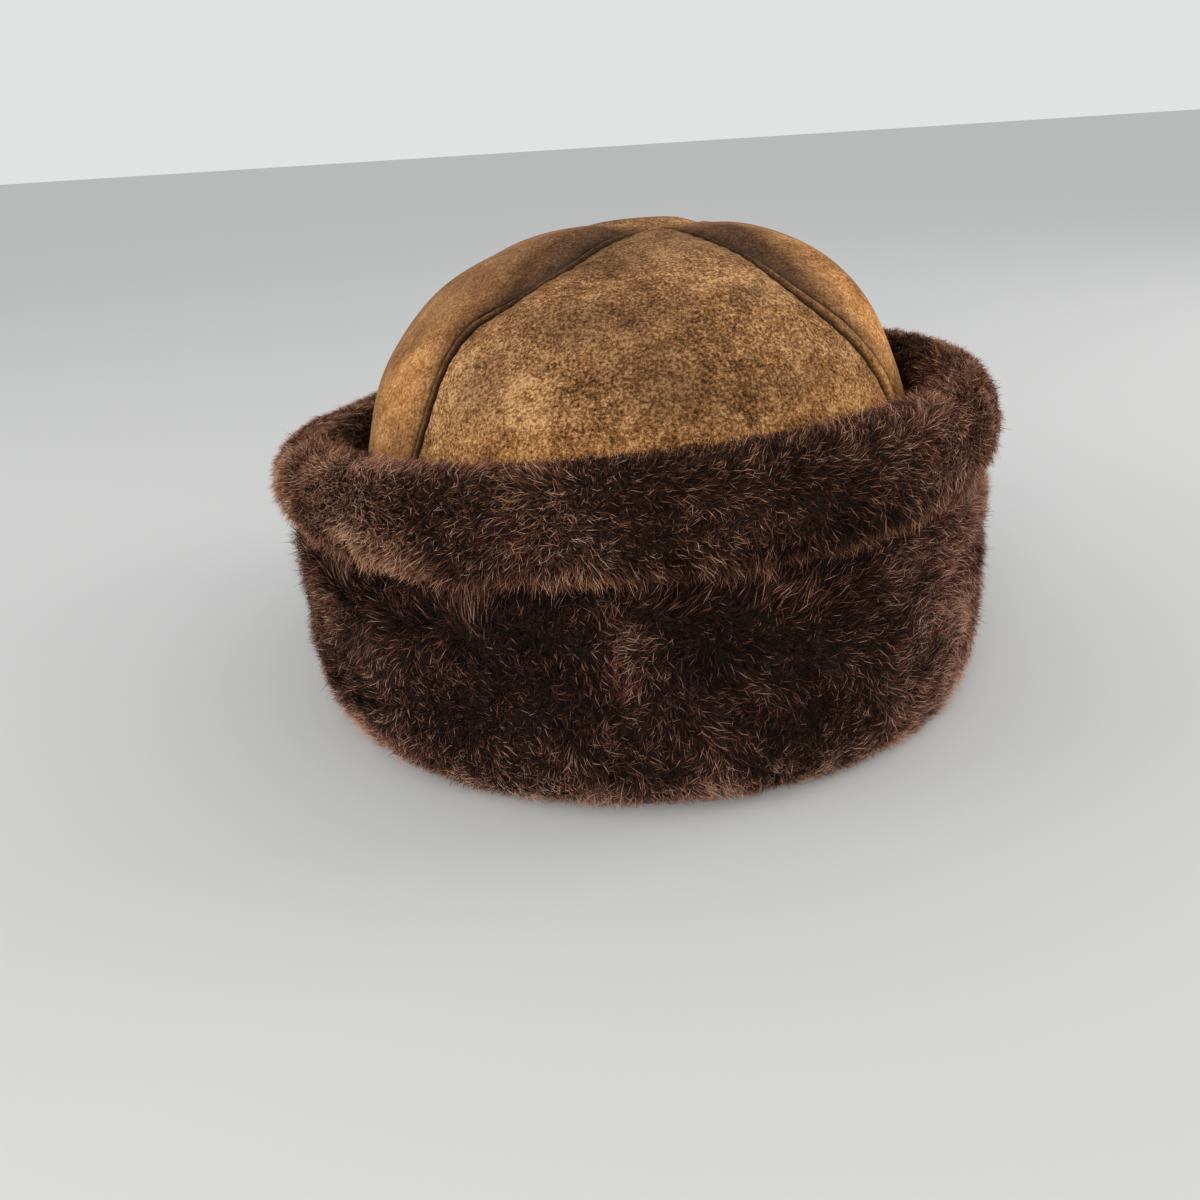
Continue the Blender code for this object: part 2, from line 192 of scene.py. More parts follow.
def add_patches(
    base: np.ndarray,
    patches: tuple[Patch, ...],
    azimuth: np.ndarray,
    level: np.ndarray,
    scale: tuple[float | np.ndarray, float],
) -> np.ndarray:
    """Values with soft patches added, each a bell curve of the distance from its place.

    Args:
        base: the values without the patches.
        patches: the patches.
        azimuth: directions of the values in radians.
        level: levels of the values.
        scale: metres for a radian round the hat, and metres for a unit of level.

    Returns:
        The values with the patches.
    """
    around, upward = scale
    for patch in patches:
        aside = turn_from(azimuth, math.radians(patch.azimuth)) * around / patch.width
        along = (level - patch.level) * upward / patch.length
        base = base + patch.amount * np.exp(-(aside**2) - along**2)
    return base


# Meshes and pieces.


def make_mesh(name: str, points: np.ndarray, quads: np.ndarray, triangles: np.ndarray) -> bpy.types.Mesh:
    """Mesh of quads and triangles, moved by the origin's shift and shaded smooth.

    Args:
        name: the mesh's name.
        points: places before the shift, one row each.
        quads: rows of four point numbers.
        triangles: rows of three point numbers.

    Returns:
        The mesh, with its quads before its triangles.
    """
    corners = np.concatenate([quads.ravel(), triangles.ravel()]).astype(np.int32)
    starts = np.concatenate([np.arange(len(quads)) * 4, quads.size + np.arange(len(triangles)) * 3])
    mesh = bpy.data.meshes.new(name)
    mesh.vertices.add(len(points))
    mesh.vertices.foreach_set("co", (points + ORIGIN_SHIFT).astype(np.float32).ravel())
    mesh.loops.add(len(corners))
    mesh.loops.foreach_set("vertex_index", corners)
    mesh.polygons.add(len(starts))
    mesh.polygons.foreach_set("loop_start", starts.astype(np.int32))
    mesh.update(calc_edges=True)
    mesh.shade_smooth()
    return mesh


def add_piece(
    mesh: bpy.types.Mesh, materials: list[bpy.types.Material], nodes: tuple[str, ...] = ()
) -> None:
    """Adds a piece of the hat that rides on the frame.

    Args:
        mesh: the piece's mesh, which gives it its name.
        materials: the materials of the mesh's slots, in order.
        nodes: CAD nodes that the piece stands for.
    """
    for material in materials:
        mesh.materials.append(material)
    piece = bpy.data.objects.new(mesh.name, mesh)
    bpy.context.scene.collection.objects.link(piece)
    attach(piece, BODY)
    if nodes:
        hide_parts(*nodes)
    LOG.info("%s: %d faces", piece.name, len(mesh.polygons))


# Materials.


def linear(colour: str) -> tuple[float, float, float, float]:
    """Linear RGBA of an sRGB hex colour."""
    channels = (int(colour[start : start + 2], 16) / 255 for start in (0, 2, 4))
    return (*(c / 12.92 if c <= 0.04045 else ((c + 0.055) / 1.055) ** 2.4 for c in channels), 1.0)


def add_node(
    tree: bpy.types.NodeTree,
    kind: str,
    settings: dict[str | int, object],
    links: dict[str | int, bpy.types.NodeSocket],
    stops: tuple[tuple[float, str], ...] = (),
) -> bpy.types.Node:
    """Node with its settings, its input links and, for a colour ramp, its stops.

    Args:
        tree: the node tree.
        kind: the node's type.
        settings: values by the name of an attribute, or by the name or number of an input.
        links: output sockets by the name or number of the input that each feeds.
        stops: positions and sRGB hex colours of a colour ramp.

    Returns:
        The new node.
    """
    node = tree.nodes.new(kind)
    for key, value in settings.items():
        if isinstance(key, str) and hasattr(node, key):
            setattr(node, key, value)
        else:
            node.inputs[key].default_value = value
    for key, output in links.items():
        tree.links.new(output, node.inputs[key])
    if stops:
        elements = node.color_ramp.elements
        while len(elements) < len(stops):
            elements.new(1.0)
        for element, (position, colour) in zip(elements, stops):
            element.position = position
            element.color = linear(colour)
    return node


def new_material(
    name: str, settings: dict[str, object]
) -> tuple[bpy.types.Material, bpy.types.NodeTree, bpy.types.Node]:
    """Material of one Principled shader.

    Args:
        name: the material's name.
        settings: values by the name of the shader's input.

    Returns:
        The material, its node tree and its shader.
    """
    material = bpy.data.materials.new(name)
    material.use_nodes = True
    shader = material.node_tree.nodes["Principled BSDF"]
    for key, value in settings.items():
        shader.inputs[key].default_value = value
    return material, material.node_tree, shader


@dataclass(frozen=True)
class BrushedSuede:
    """Sheepskin suede: the skin side, sanded to a short nap that stands in small light and dark tufts.

    The nap gives the eye a dry, grainy brown without gloss, with mottles and wider blotches. Hollows and the
    front gore's top are darkened by painted shade together with dirt, and the seams by painted shade in their
    grooves. Folds and the lower edge are rubbed to an orange tan, and the right gore's ridge and foot carry a
    painted highlight in the same tan. Tones run from the depth of the nap to its tips. The grain is drawn
    somewhat coarser than real nap, so that it still shows from arm's length.
    """

    name: str
    clean: tuple[str, str, str] = ("3a2312", "9a6a40", "ebb780")
    # Tones of rubbed wear, which also paint a highlight on the right gore's ridge and foot
    rubbed_and_highlit: tuple[str, str, str] = ("603a19", "cc8846", "fcca8c")
    # Tones of dirt, which also paint shade in the hollows and over the front gore's top
    soiled_and_shaded: tuple[str, str, str] = ("170d08", "3a2517", "6e4e33")
    # Colour of painted shade in the seams' and stitched grooves, and of painted shade with dirt in the
    # hollows beyond the welts
    seam: str = "1a0f09"
    sheen: str = "e0b080"
    spread: float = 0.078
    nap_size: float = 1.0 * MM
    fibre_size: float = 0.42 * MM
    fibre_share: float = 0.35
    mottle_size: float = 4.5 * MM
    mottle_share: float = 0.20
    blotch_size: float = 22 * MM
    blotch_share: float = 0.22
    rubbed_and_highlit_range: tuple[float, float] = (0.25, 0.60)
    soiled_and_shaded_range: tuple[float, float] = (0.05, 0.60)
    nap_relief: float = 1.6 * MM

    def tones(self, colours: tuple[str, str, str]) -> tuple[tuple[float, str], ...]:
        """Stops of the nap's grain: its three tones, one spread of the noise apart."""
        return tuple((0.5 + step * self.spread, colour) for step, colour in zip((-1, 0, 1), colours))

    def material(self) -> bpy.types.Material:
        """Suede material, patterned on Object coordinates and on the gore's own attributes of wear, dirt and
        painted light and shade.

        The tone is a mix of four noises. Blotches of the widest noise let the wear, the dirt and their
        painted light and shade through, between the two values of its range.

        Returns:
            The material.
        """
        material, tree, shader = new_material(
            self.name,
            {
                "Roughness": 0.95,
                "Specular IOR Level": 0.12,
                "Sheen Weight": 0.08,
                "Sheen Roughness": 0.5,
                "Sheen Tint": linear(self.sheen),
            },
        )
        place = add_node(tree, "ShaderNodeTexCoord", {}, {}).outputs["Object"]
        sizes = (self.nap_size, self.fibre_size, self.mottle_size, self.blotch_size)
        nap, fibres, mottle, blotches = (
            add_node(
                tree,
                "ShaderNodeTexNoise",
                {"Scale": 1 / size, "Detail": 4.0, "Roughness": 0.65, "Distortion": 0.1},
                {"Vector": place},
            ).outputs["Fac"]
            for size in sizes
        )
        mixed = [nap]
        for share, other in (
            (self.fibre_share, fibres),
            (self.mottle_share, mottle),
            (self.blotch_share, blotches),
        ):
            settings = {"data_type": "FLOAT", MIX_SHARE: share}
            links = {NUMBER_A: mixed[-1], NUMBER_B: other}
            mixed.append(add_node(tree, "ShaderNodeMix", settings, links).outputs[NUMBER_MIXED])
        _, grain, _, tone = mixed
        clean, rubbed_and_highlit, soiled_and_shaded = (
            add_node(tree, "ShaderNodeValToRGB", {}, {"Fac": tone}, self.tones(colours)).outputs["Color"]
            for colours in (self.clean, self.rubbed_and_highlit, self.soiled_and_shaded)
        )
        colour = clean
        # Rubbed wear with its painted highlight, then dirt with its painted shade, each let through by the
        # blotches
        for attribute, tint, (low, high) in (
            (Crown.RUBBED_AND_HIGHLIT_ATTRIBUTE, rubbed_and_highlit, self.rubbed_and_highlit_range),
            (Crown.SOILED_AND_SHADED_ATTRIBUTE, soiled_and_shaded, self.soiled_and_shaded_range),
        ):
            wear = add_node(tree, "ShaderNodeAttribute", {"attribute_name": attribute}, {}).outputs["Fac"]
            patchy = add_node(
                tree, "ShaderNodeMapRange", {"From Min": low, "From Max": high}, {"Value": blotches}
            ).outputs[0]
            amount = add_node(
                tree, "ShaderNodeMath", {"operation": "MULTIPLY", "use_clamp": True}, {0: wear, 1: patchy}
            ).outputs[0]
            links = {MIX_SHARE: amount, COLOUR_A: colour, COLOUR_B: tint}
            colour = add_node(tree, "ShaderNodeMix", {"data_type": "RGBA"}, links).outputs[COLOUR_MIXED]
        # Painted shade of the seams' grooves and of the hollows beyond the welts, there with dirt
        seam = add_node(tree, "ShaderNodeAttribute", {"attribute_name": Crown.SEAM_ATTRIBUTE}, {})
        settings = {"data_type": "RGBA", COLOUR_B: linear(self.seam)}
        links = {MIX_SHARE: seam.outputs["Fac"], COLOUR_A: colour}
        colour = add_node(tree, "ShaderNodeMix", settings, links).outputs[COLOUR_MIXED]
        tree.links.new(colour, shader.inputs["Base Color"])
        bump = add_node(
            tree, "ShaderNodeBump", {"Strength": 1.0, "Distance": self.nap_relief}, {"Height": grain}
        )
        tree.links.new(bump.outputs["Normal"], shader.inputs["Normal"])
        return material


@dataclass(frozen=True)
class WoolPile:
    """Sheep's wool seen from above its tips: the dark, felted depth of the pile between the single fibres."""

    name: str
    deep: str = "140c0a"
    upper: str = "38261f"
    tuft_size: float = 2.2 * MM
    relief: float = 1.2 * MM

    def material(self) -> bpy.types.Material:
        """Wool material with tufts in colour and bump, as one noise.

        Returns:
            The material.
        """
        material, tree, shader = new_material(self.name, {"Roughness": 0.9, "Specular IOR Level": 0.2})
        place = add_node(tree, "ShaderNodeTexCoord", {}, {}).outputs["Object"]
        tufts = add_node(
            tree,
            "ShaderNodeTexNoise",
            {"Scale": 1 / self.tuft_size, "Detail": 4.0, "Roughness": 0.6, "Distortion": 1.2},
            {"Vector": place},
        ).outputs["Fac"]
        stops = ((0.35, self.deep), (0.72, self.upper))
        colour = add_node(tree, "ShaderNodeValToRGB", {}, {"Fac": tufts}, stops)
        tree.links.new(colour.outputs["Color"], shader.inputs["Base Color"])
        bump = add_node(
            tree, "ShaderNodeBump", {"Strength": 1.0, "Distance": self.relief}, {"Height": tufts}
        )
        tree.links.new(bump.outputs["Normal"], shader.inputs["Normal"])
        return material


@dataclass(frozen=True)
class WoolFibre:
    """Dyed shearling fibres: fine, crimped and slightly shiny and browner at the tip, with painted shade that
    darkens them to near black towards the root.

    The map's U is the fibre's tone and its V runs from root to tip, so each fibre has one colour of its own.
    """

    name: str
    tones: tuple[tuple[float, str], ...]
    # Painted shade along a fibre, for the shadow deep in the pile: darkest at the root, none at the tip
    root_shade: str = "303030"
    middle_shade: str = "787878"
    tip_shade: str = "ffffff"
    sheen: str = "b08468"

    def material(self) -> bpy.types.Material:
        """Fibre material, whose colour is the fibre's tone times the painted shade at the place along it,
        darkest at the root.

        Returns:
            The material.
        """
        material, tree, shader = new_material(
            self.name,
            {
                "Roughness": 0.5,
                "Specular IOR Level": 0.06,
                "Sheen Weight": 0.06,
                "Sheen Roughness": 0.4,
                "Sheen Tint": linear(self.sheen),
            },
        )
        where = add_node(tree, "ShaderNodeUVMap", {"uv_map": FLEECE_MAP}, {}).outputs["UV"]
        parts = add_node(tree, "ShaderNodeSeparateXYZ", {}, {0: where})
        shades = ((0.0, self.root_shade), (0.4, self.middle_shade), (0.75, self.tip_shade))
        tone = add_node(tree, "ShaderNodeValToRGB", {}, {"Fac": parts.outputs["X"]}, self.tones)
        along = add_node(tree, "ShaderNodeValToRGB", {}, {"Fac": parts.outputs["Y"]}, shades)
        colour = add_node(
            tree,
            "ShaderNodeMix",
            {"data_type": "RGBA", "blend_type": "MULTIPLY", MIX_SHARE: 1.0},
            {COLOUR_A: tone.outputs["Color"], COLOUR_B: along.outputs["Color"]},
        )
        tree.links.new(colour.outputs[COLOUR_MIXED], shader.inputs["Base Color"])
        return material


@dataclass(frozen=True)
class WaxedThread:
    """Spun sewing thread, dark brown and slightly shiny from its wax, with its plies' twist in its tone."""

    name: str = "waxed_thread"
    deep: str = "231610"
    colour: str = "33211a"
    ply: float = 0.5 * MM

    def material(self) -> bpy.types.Material:
        """Thread material with a fine twist.

        Returns:
            The material.
        """
        material, tree, shader = new_material(self.name, {"Roughness": 0.6})
        place = add_node(tree, "ShaderNodeTexCoord", {}, {}).outputs["Object"]
        settings = {"Scale": 1 / self.ply, "Detail": 1.0}
        twist = add_node(tree, "ShaderNodeTexNoise", settings, {"Vector": place})
        stops = ((0.35, self.deep), (0.65, self.colour))
        colour = add_node(tree, "ShaderNodeValToRGB", {}, {"Fac": twist.outputs["Fac"]}, stops)
        tree.links.new(colour.outputs["Color"], shader.inputs["Base Color"])
        return material


# The crown.


@dataclass(frozen=True)
class PlanOval:
    """Superellipse that the crown and the cuff follow in plan."""

    half_width: float = 100 * MM
    half_length: float = 111 * MM
    power: float = 2.12

    def at(
        self, azimuth: np.ndarray, inset: float = 0.0
    ) -> tuple[np.ndarray, np.ndarray, np.ndarray, np.ndarray]:
        """Places on the oval: each half size times the signed sine or cosine to the power 2 / power.

        Args:
            azimuth: directions in radians.
            inset: how much smaller both half sizes are.

        Returns:
            x, y and the outward normal's x and y.
        """
        across, along = np.sin(azimuth), -np.cos(azimuth)
        width, length = self.half_width - inset, self.half_length - inset
        x = width * np.sign(across) * np.abs(across) ** (2 / self.power)
        y = length * np.sign(along) * np.abs(along) ** (2 / self.power)
        slope_x = np.sign(x) * np.abs(x / width) ** (self.power - 1) / width
        slope_y = np.sign(y) * np.abs(y / length) ** (self.power - 1) / length
        size = np.hypot(slope_x, slope_y)
        return x, y, slope_x / size, slope_y / size


@dataclass(frozen=True)
class Seam:
    """Seam between two gores: its azimuths at the foot and the tip, and the rises between which it turns.

    The welt beside it passes from one width at half the rise to another near the tip.
    """

    foot: float
    tip: float
    turns_from: float
    turns_to: float
    welt_low: float = 4.5 * MM
    welt_high: float = 3.2 * MM


@dataclass(frozen=True)
class Gore:
    """Crown panel between two seams: how far it bulges, and whether it has welts beside them."""

    piece: str
    node: str
    first_seam: str
    last_seam: str
    bulge: float
    welted: bool
    slot: Slot


SEAMS = {
    "front_right": Seam(54, 32, 0.37, 0.72, 5.6 * MM, 2.9 * MM),
    "back_right": Seam(132, 139, 0.40, 0.75),
    "back_left": Seam(228, 221, 0.40, 0.75),
    "front_left": Seam(305, 319.5, 0.58, 0.76, 2.2 * MM, 3.9 * MM),
}

GORES = (
    Gore("front_gore_suede", "gore_front", "front_left", "front_right", 0.4 * MM, False, Slot.FRONT_SUEDE),
    Gore("right_gore_suede", "gore_right", "front_right", "back_right", 0.7 * MM, True, Slot.SIDE_SUEDE),
    Gore("back_gore_suede", "gore_back", "back_right", "back_left", 2.8 * MM, False, Slot.BACK_SUEDE),
    Gore("left_gore_suede", "gore_left", "back_left", "front_left", 2.0 * MM, True, Slot.SIDE_SUEDE),
)

# Lifts of the suede in metres: hollows are below zero and swellings above
DENTS = (
    Patch(308, 0.74, -3.6 * MM, 8 * MM, 32 * MM),
    Patch(41, 0.75, -2.2 * MM, 7 * MM, 26 * MM),
    Patch(62, 0.66, 1.8 * MM, 9 * MM, 34 * MM),
    Patch(288, 0.80, 1.2 * MM, 12 * MM, 24 * MM),
    Patch(0, 0.95, 1.2 * MM, 14 * MM, 12 * MM),
    Patch(8, 0.42, -1.2 * MM, 34 * MM, 26 * MM),
)

# Wear of the nap, which is held to 1 where patches add up to more. Rubbed patches, some of them a painted
# highlight on the right gore's ridge and foot
RUBBED_AND_HIGHLIT = (
    Patch(69, 0.76, 0.8, 7 * MM, 26 * MM),
    Patch(57, 0.60, 0.7, 8 * MM, 22 * MM),
    Patch(72, 0.45, 1.3, 26 * MM, 28 * MM),
    Patch(46, 0.38, 0.9, 18 * MM, 12 * MM),
    Patch(330, 0.40, 0.55, 30 * MM, 10 * MM),
    Patch(0, 0.38, 0.55, 45 * MM, 9 * MM),
    Patch(32, 0.42, 0.6, 22 * MM, 14 * MM),
    Patch(290, 0.46, 0.9, 18 * MM, 26 * MM),
    Patch(180, 0.50, 0.4, 60 * MM, 30 * MM),
)

# Dirty patches, some of them painted shade in the hollows beside the welts and over the front gore's top
SOILED_AND_SHADED = (
    Patch(308, 0.76, 1.8, 8 * MM, 24 * MM),
    Patch(300, 0.88, 0.8, 8 * MM, 12 * MM),
    Patch(288, 0.68, 0.30, 16 * MM, 26 * MM),
    Patch(42, 0.75, 1.5, 8 * MM, 24 * MM),
    Patch(60, 0.84, 0.6, 10 * MM, 14 * MM),
    Patch(334, 0.60, 0.7, 14 * MM, 10 * MM),
    Patch(355, 0.53, 0.65, 18 * MM, 11 * MM),
    Patch(4, 0.47, 0.5, 16 * MM, 8 * MM),
    Patch(334, 0.75, 0.6, 12 * MM, 9 * MM),
    Patch(354, 0.63, 0.5, 16 * MM, 9 * MM),
    Patch(320, 0.50, 0.5, 9 * MM, 14 * MM),
    Patch(22, 0.48, 0.45, 16 * MM, 8 * MM),
    Patch(355, 0.84, 0.50, 45 * MM, 22 * MM),
    Patch(20, 0.64, 0.6, 5 * MM, 4 * MM),
    Patch(150, 0.70, 0.5, 30 * MM, 20 * MM),
    Patch(215, 0.60, 0.6, 24 * MM, 26 * MM),
)


@dataclass(frozen=True)
class Places:
    """Places on the crown: their azimuths in radians, rises, and distances from the dome's axis."""

    azimuth: np.ndarray
    rise: np.ndarray
    reach: np.ndarray


@dataclass(frozen=True)
class Crown:
    """Domed crown of four suede gores, with its seams, welts and stitches.

    Sizes are in metres and the crease is in degrees. Rises run from 0 at the spring line to 1 at the pole.
    Shades are held between 0 and 1. A stitch's arch and sink are in half widths of its thread, and the least
    reach is a share of the oval's half width.
    """

    oval: PlanOval
    height: float = 151.5 * MM
    spring: float = 25 * MM
    foot: float = 8.3 * MM
    shoulder: float = 2.9
    profile: float = 195 * MM
    lean_x: float = 11 * MM
    lean_y: float = 8.5 * MM
    lean_power: float = 4.0
    hide: float = 3 * MM
    valley: float = 0.6 * MM
    valley_reach: float = 9 * MM
    relief_fade: float = 0.25
    least_reach: float = 0.2
    welt_height: float = 0.9 * MM
    welt_roundness: float = 0.7
    welt_turns: tuple[float, float] = (0.48, 0.85)
    seam_gap: float = 0.1 * MM
    seam_groove: float = 2.0 * MM
    stitch_groove: float = 1.2 * MM
    groove_width: float = 0.85 * MM
    pucker: float = 0.18 * MM
    pucker_pitch: float = 7 * MM
    pucker_drift: float = 23 * MM
    pucker_swing: float = 2.0
    pucker_reach: float = 3 * MM
    pucker_beyond: float = 2 * MM
    slack: float = 0.35 * MM
    slack_size: float = 45 * MM
    slack_seed: int = 11
    tip_radius: float = 0.2 * MM
    rows: int = 104
    inner_columns: int = 46
    crease: float = 70
    stitch_pitch: float = 3.8 * MM
    stitch_length: float = 2.9 * MM
    stitches_to: float = 0.93
    stitch_pull: float = 0.25
    stitch_arch: float = 1.5
    stitch_sink: float = 0.7
    thread: float = 0.28 * MM
    # Painted shade in the seam and stitched grooves, and painted shade with dirt in the hollow beyond a welt,
    # strongest at one rise
    seam_shade: float = 1.25
    seam_shade_reach: float = 1.1 * MM
    stitch_shade: float = 1.1
    stitch_shade_reach: float = 0.75 * MM
    hollow_shadow_and_dirt: float = 0.36
    hollow_shadow_and_dirt_high: float = 0.7
    hollow_shadow_rise: float = 0.75
    hollow_shadow_length: float = 0.13
    hollow_shadow_reach: float = 4.4 * MM

    # Gore attributes: painted shade at the seams, welts and hollows, there with dirt; rubbed wear with a
    # painted highlight; dirt with painted shade
    SEAM_ATTRIBUTE = "seam_shade"
    RUBBED_AND_HIGHLIT_ATTRIBUTE = "rubbed_and_highlit"
    SOILED_AND_SHADED_ATTRIBUTE = "soiled_and_shaded"
    # Distances of the columns beside a seam, which grow away from it
    EDGE_STEPS = np.array((0, 0.3, 0.6, 1.0, 1.4, 1.9, 2.4, 2.9, 3.4, 3.9, 4.3, 4.7, 5.2, 5.9, 7.0, 8.5)) * MM
    # Most that these columns take up, as a share of the gore's width
    EDGE_SHARE = 0.3
    # Thickness of a stitch at its rings, as shares of the thread's
    THREAD_TAPER = (0.35, 0.9, 1, 1, 0.9, 0.35)

    def dome_angles(self) -> np.ndarray:
        """Angles from the spring line to the pole, evenly spaced along the dome's profile.

        Returns:
            One angle more than the rows, in radians.
        """
        fine = np.linspace(0, math.pi / 2, 4001)
        reach = self.oval.half_width * np.cos(fine) ** (2 / self.shoulder)
        lift = (self.height - self.spring) * np.sin(fine) ** (2 / self.shoulder)
        length = np.concatenate([[0], np.cumsum(np.hypot(np.diff(reach), np.diff(lift)))])
        return np.interp(np.linspace(0, length[-1], self.rows + 1), length, fine)

    def seam_azimuth(self, name: str, rise: float | np.ndarray) -> np.ndarray:
        """Azimuth of a seam, from the foot's to the tip's by the smooth step between the seam's two rises.

        Args:
            name: the seam's name.
            rise: rises along the seam.

        Returns:
            The azimuth in radians at each rise.
        """
        seam = SEAMS[name]
        turned = smoothstep(rise, seam.turns_from, seam.turns_to)
        return np.radians(seam.foot + (seam.tip - seam.foot) * turned)

    def welt_width(self, name: str, rise: np.ndarray) -> np.ndarray:
        """Width of the welt beside a seam, over the rise."""
        seam = SEAMS[name]
        return seam.welt_low + (seam.welt_high - seam.welt_low) * smoothstep(rise, *self.welt_turns)

    def beside_seam(self, at: Places) -> tuple[np.ndarray, np.ndarray]:
        """Nearest seam to each place.

        Args:
            at: the places.

        Returns:
            The distance round the crown to the seam, and the width of its welt.
        """
        turns = np.array([np.abs(turn_from(at.azimuth, self.seam_azimuth(name, at.rise))) for name in SEAMS])
        widths = np.array([self.welt_width(name, at.rise) + 0 * at.azimuth for name in SEAMS])
        nearest = np.argmin(turns, axis=0)[None]
        turn, width = (np.take_along_axis(values, nearest, 0)[0] for values in (turns, widths))
        return turn * at.reach, width

    def seam_relief(
        self, to_seam: np.ndarray, width: np.ndarray, rise: np.ndarray, welted: bool
    ) -> np.ndarray:
        """Relief close to a seam.

        The suede dips to the seam as a bell curve of its distance. A welted gore adds a half-sine ridge, a
        second bell-shaped groove along the ridge's far side where the stitches pull it in, and small puckers.

        Args:
            to_seam: distances from the seam.
            width: widths of the seam's welt.
            rise: rises of the places.
            welted: whether the gore has welts.

        Returns:
            The relief in metres.
        """
        relief = -self.seam_groove * np.exp(-((to_seam / self.groove_width) ** 2))
        along = rise * self.profile
        drift = self.pucker_swing * np.sin(along / self.pucker_drift)
        pucker = self.pucker * np.sin(along / self.pucker_pitch * TURN + drift)
        if not welted:
            return relief + pucker * np.exp(-(((to_seam - self.pucker_reach) / self.pucker_reach) ** 2))
        ridge = np.sin(math.pi * np.clip(to_seam / width, 0, 1)) ** self.welt_roundness
        pull = 1 - self.stitch_pull + self.stitch_pull * np.cos(along / self.stitch_pitch * TURN)
        beyond = to_seam - width
        stitched = np.exp(-((beyond / self.groove_width) ** 2)) * pull
        puckered = pucker * np.exp(-(((beyond - self.pucker_beyond) / self.pucker_reach) ** 2))
        return relief + self.welt_height * ridge - self.stitch_groove * stitched + puckered

    def patched(self, base: np.ndarray, patches: tuple[Patch, ...], at: Places) -> np.ndarray:
        """Values on the crown with soft patches added, which keep a width near the pole."""
        around = np.maximum(at.reach, self.least_reach * self.oval.half_width)
        return add_patches(base, patches, at.azimuth, at.rise, (around, self.profile))

    def relief(self, at: Places, gore: Gore) -> np.ndarray:
        """Height of the suede over the plain dome: bulges between the seams, valleys at them, and dents.

        Args:
            at: the places.
            gore: the gore that they are on.

        Returns:
            The height in metres.
        """
        to_seam, width = self.beside_seam(at)
        fade = np.clip(at.rise / self.relief_fade, 0, 1)
        valley = np.exp(-((to_seam / self.valley_reach) ** 2))
        relief = (gore.bulge * (1 - valley) - self.valley * valley) * fade
        return self.patched(relief, DENTS, at) + self.seam_relief(to_seam, width, at.rise, gore.welted)

    def point(
        self, azimuth: np.ndarray, angle: np.ndarray, rise: np.ndarray, depth: float, gore: Gore
    ) -> np.ndarray:
        """Places on the crown: the dome of the plan oval, moved out by the relief and leaned.

        The dome's profile is the cosine and sine of the angle to the power 2 / shoulder, and the lean grows
        with the lift to the lean's power.

        Args:
            azimuth: directions of the places in radians.
            angle: angles from the spring line towards the pole, in radians.
            rise: rises of the places.
            depth: how far the places lie inside the outer face.
            gore: the gore that the places are on.

        Returns:
            The places, with x, y and z along the last axis.
        """
        reach = np.cos(angle) ** (2 / self.shoulder)
        lift = np.sin(angle) ** (2 / self.shoulder)
        x, y, out_x, out_y = self.oval.at(azimuth, depth)
        steep = reach ** (self.shoulder - 1) / self.oval.half_width
        flat = lift ** (self.shoulder - 1) / (self.height - self.spring)
        size = np.hypot(steep, flat)
        relief = self.relief(Places(azimuth, rise, reach * self.oval.half_width), gore)
        plain = np.stack([x * reach, y * reach, self.height * lift + 0 * x], -1)
        relief = relief + self.slack * ripple(plain, self.slack_size, self.slack_seed)
        lean = lift**self.lean_power
        return np.stack(
            [
                x * reach + relief * out_x * steep / size + self.lean_x * lean,
                y * reach + relief * out_y * steep / size + self.lean_y * lean,
                self.spring + (self.height - self.spring - depth) * lift + relief * flat / size,
            ],
            -1,
        )

    def gore_grid(self, gore: Gore, depth: float) -> tuple[np.ndarray, np.ndarray, Places]:
        """Places of one skin of a gore.

        Columns crowd towards the seams. The lowest row hangs straight down to the foot.

        Args:
            gore: the gore.
            depth: how far the skin lies inside the crown's outer face.

        Returns:
            The grid by rows and columns, the tip point, and where on the crown the grid is.
        """
        angle = self.dome_angles()[:-1, None]
        rise = np.linspace(0, 1, self.rows + 1)[:-1, None]
        reach = self.oval.half_width * np.cos(angle) ** (2 / self.shoulder)
        first = self.seam_azimuth(gore.first_seam, rise)
        span = (self.seam_azimuth(gore.last_seam, rise) - first) % TURN
        width = span * reach - self.seam_gap
        edge = np.minimum(self.EDGE_STEPS, self.EDGE_STEPS / self.EDGE_STEPS[-1] * self.EDGE_SHARE * width)
        share = np.linspace(0, 1, self.inner_columns)
        inner = edge[:, -1:] + share * (width - 2 * edge[:, -1:])
        across = np.concatenate([edge[:, :-1], inner, width - edge[:, -2::-1]], axis=1)
        azimuth = first + (0.5 * self.seam_gap + across) / reach
        grid = self.point(azimuth, angle, rise, depth, gore)
        lowest = grid[:1].copy()
        lowest[..., 2] = self.foot
        near_pole = np.array([math.acos((self.tip_radius / self.oval.half_width) ** (self.shoulder / 2))])
        start, end = (self.seam_azimuth(name, 1.0) for name in (gore.first_seam, gore.last_seam))
        middle = start + 0.5 * ((end - start) % TURN)
        tip = self.point(np.array([middle]), near_pole, np.array([1.0]), depth, gore)
        return np.concatenate([lowest, grid]), tip, Places(azimuth, rise, reach)

    def shades(self, gore: Gore, at: Places) -> dict[str, np.ndarray]:
        """Wear, dirt and painted light and shade of a gore at its grid points, from 0 to 1.

        Seams are darkened by painted shade in their grooves as a bell curve of their distance. A welted gore
        adds one along the stitched groove, and a weaker and wider one beyond it, painted shade with dirt in
        the hollow, which is strongest at one rise.

        Args:
            gore: the gore.
            at: the places of the grid's points.

        Returns:
            For each attribute its values by rows and columns, the foot's row included.
        """
        to_seam, width = self.beside_seam(at)
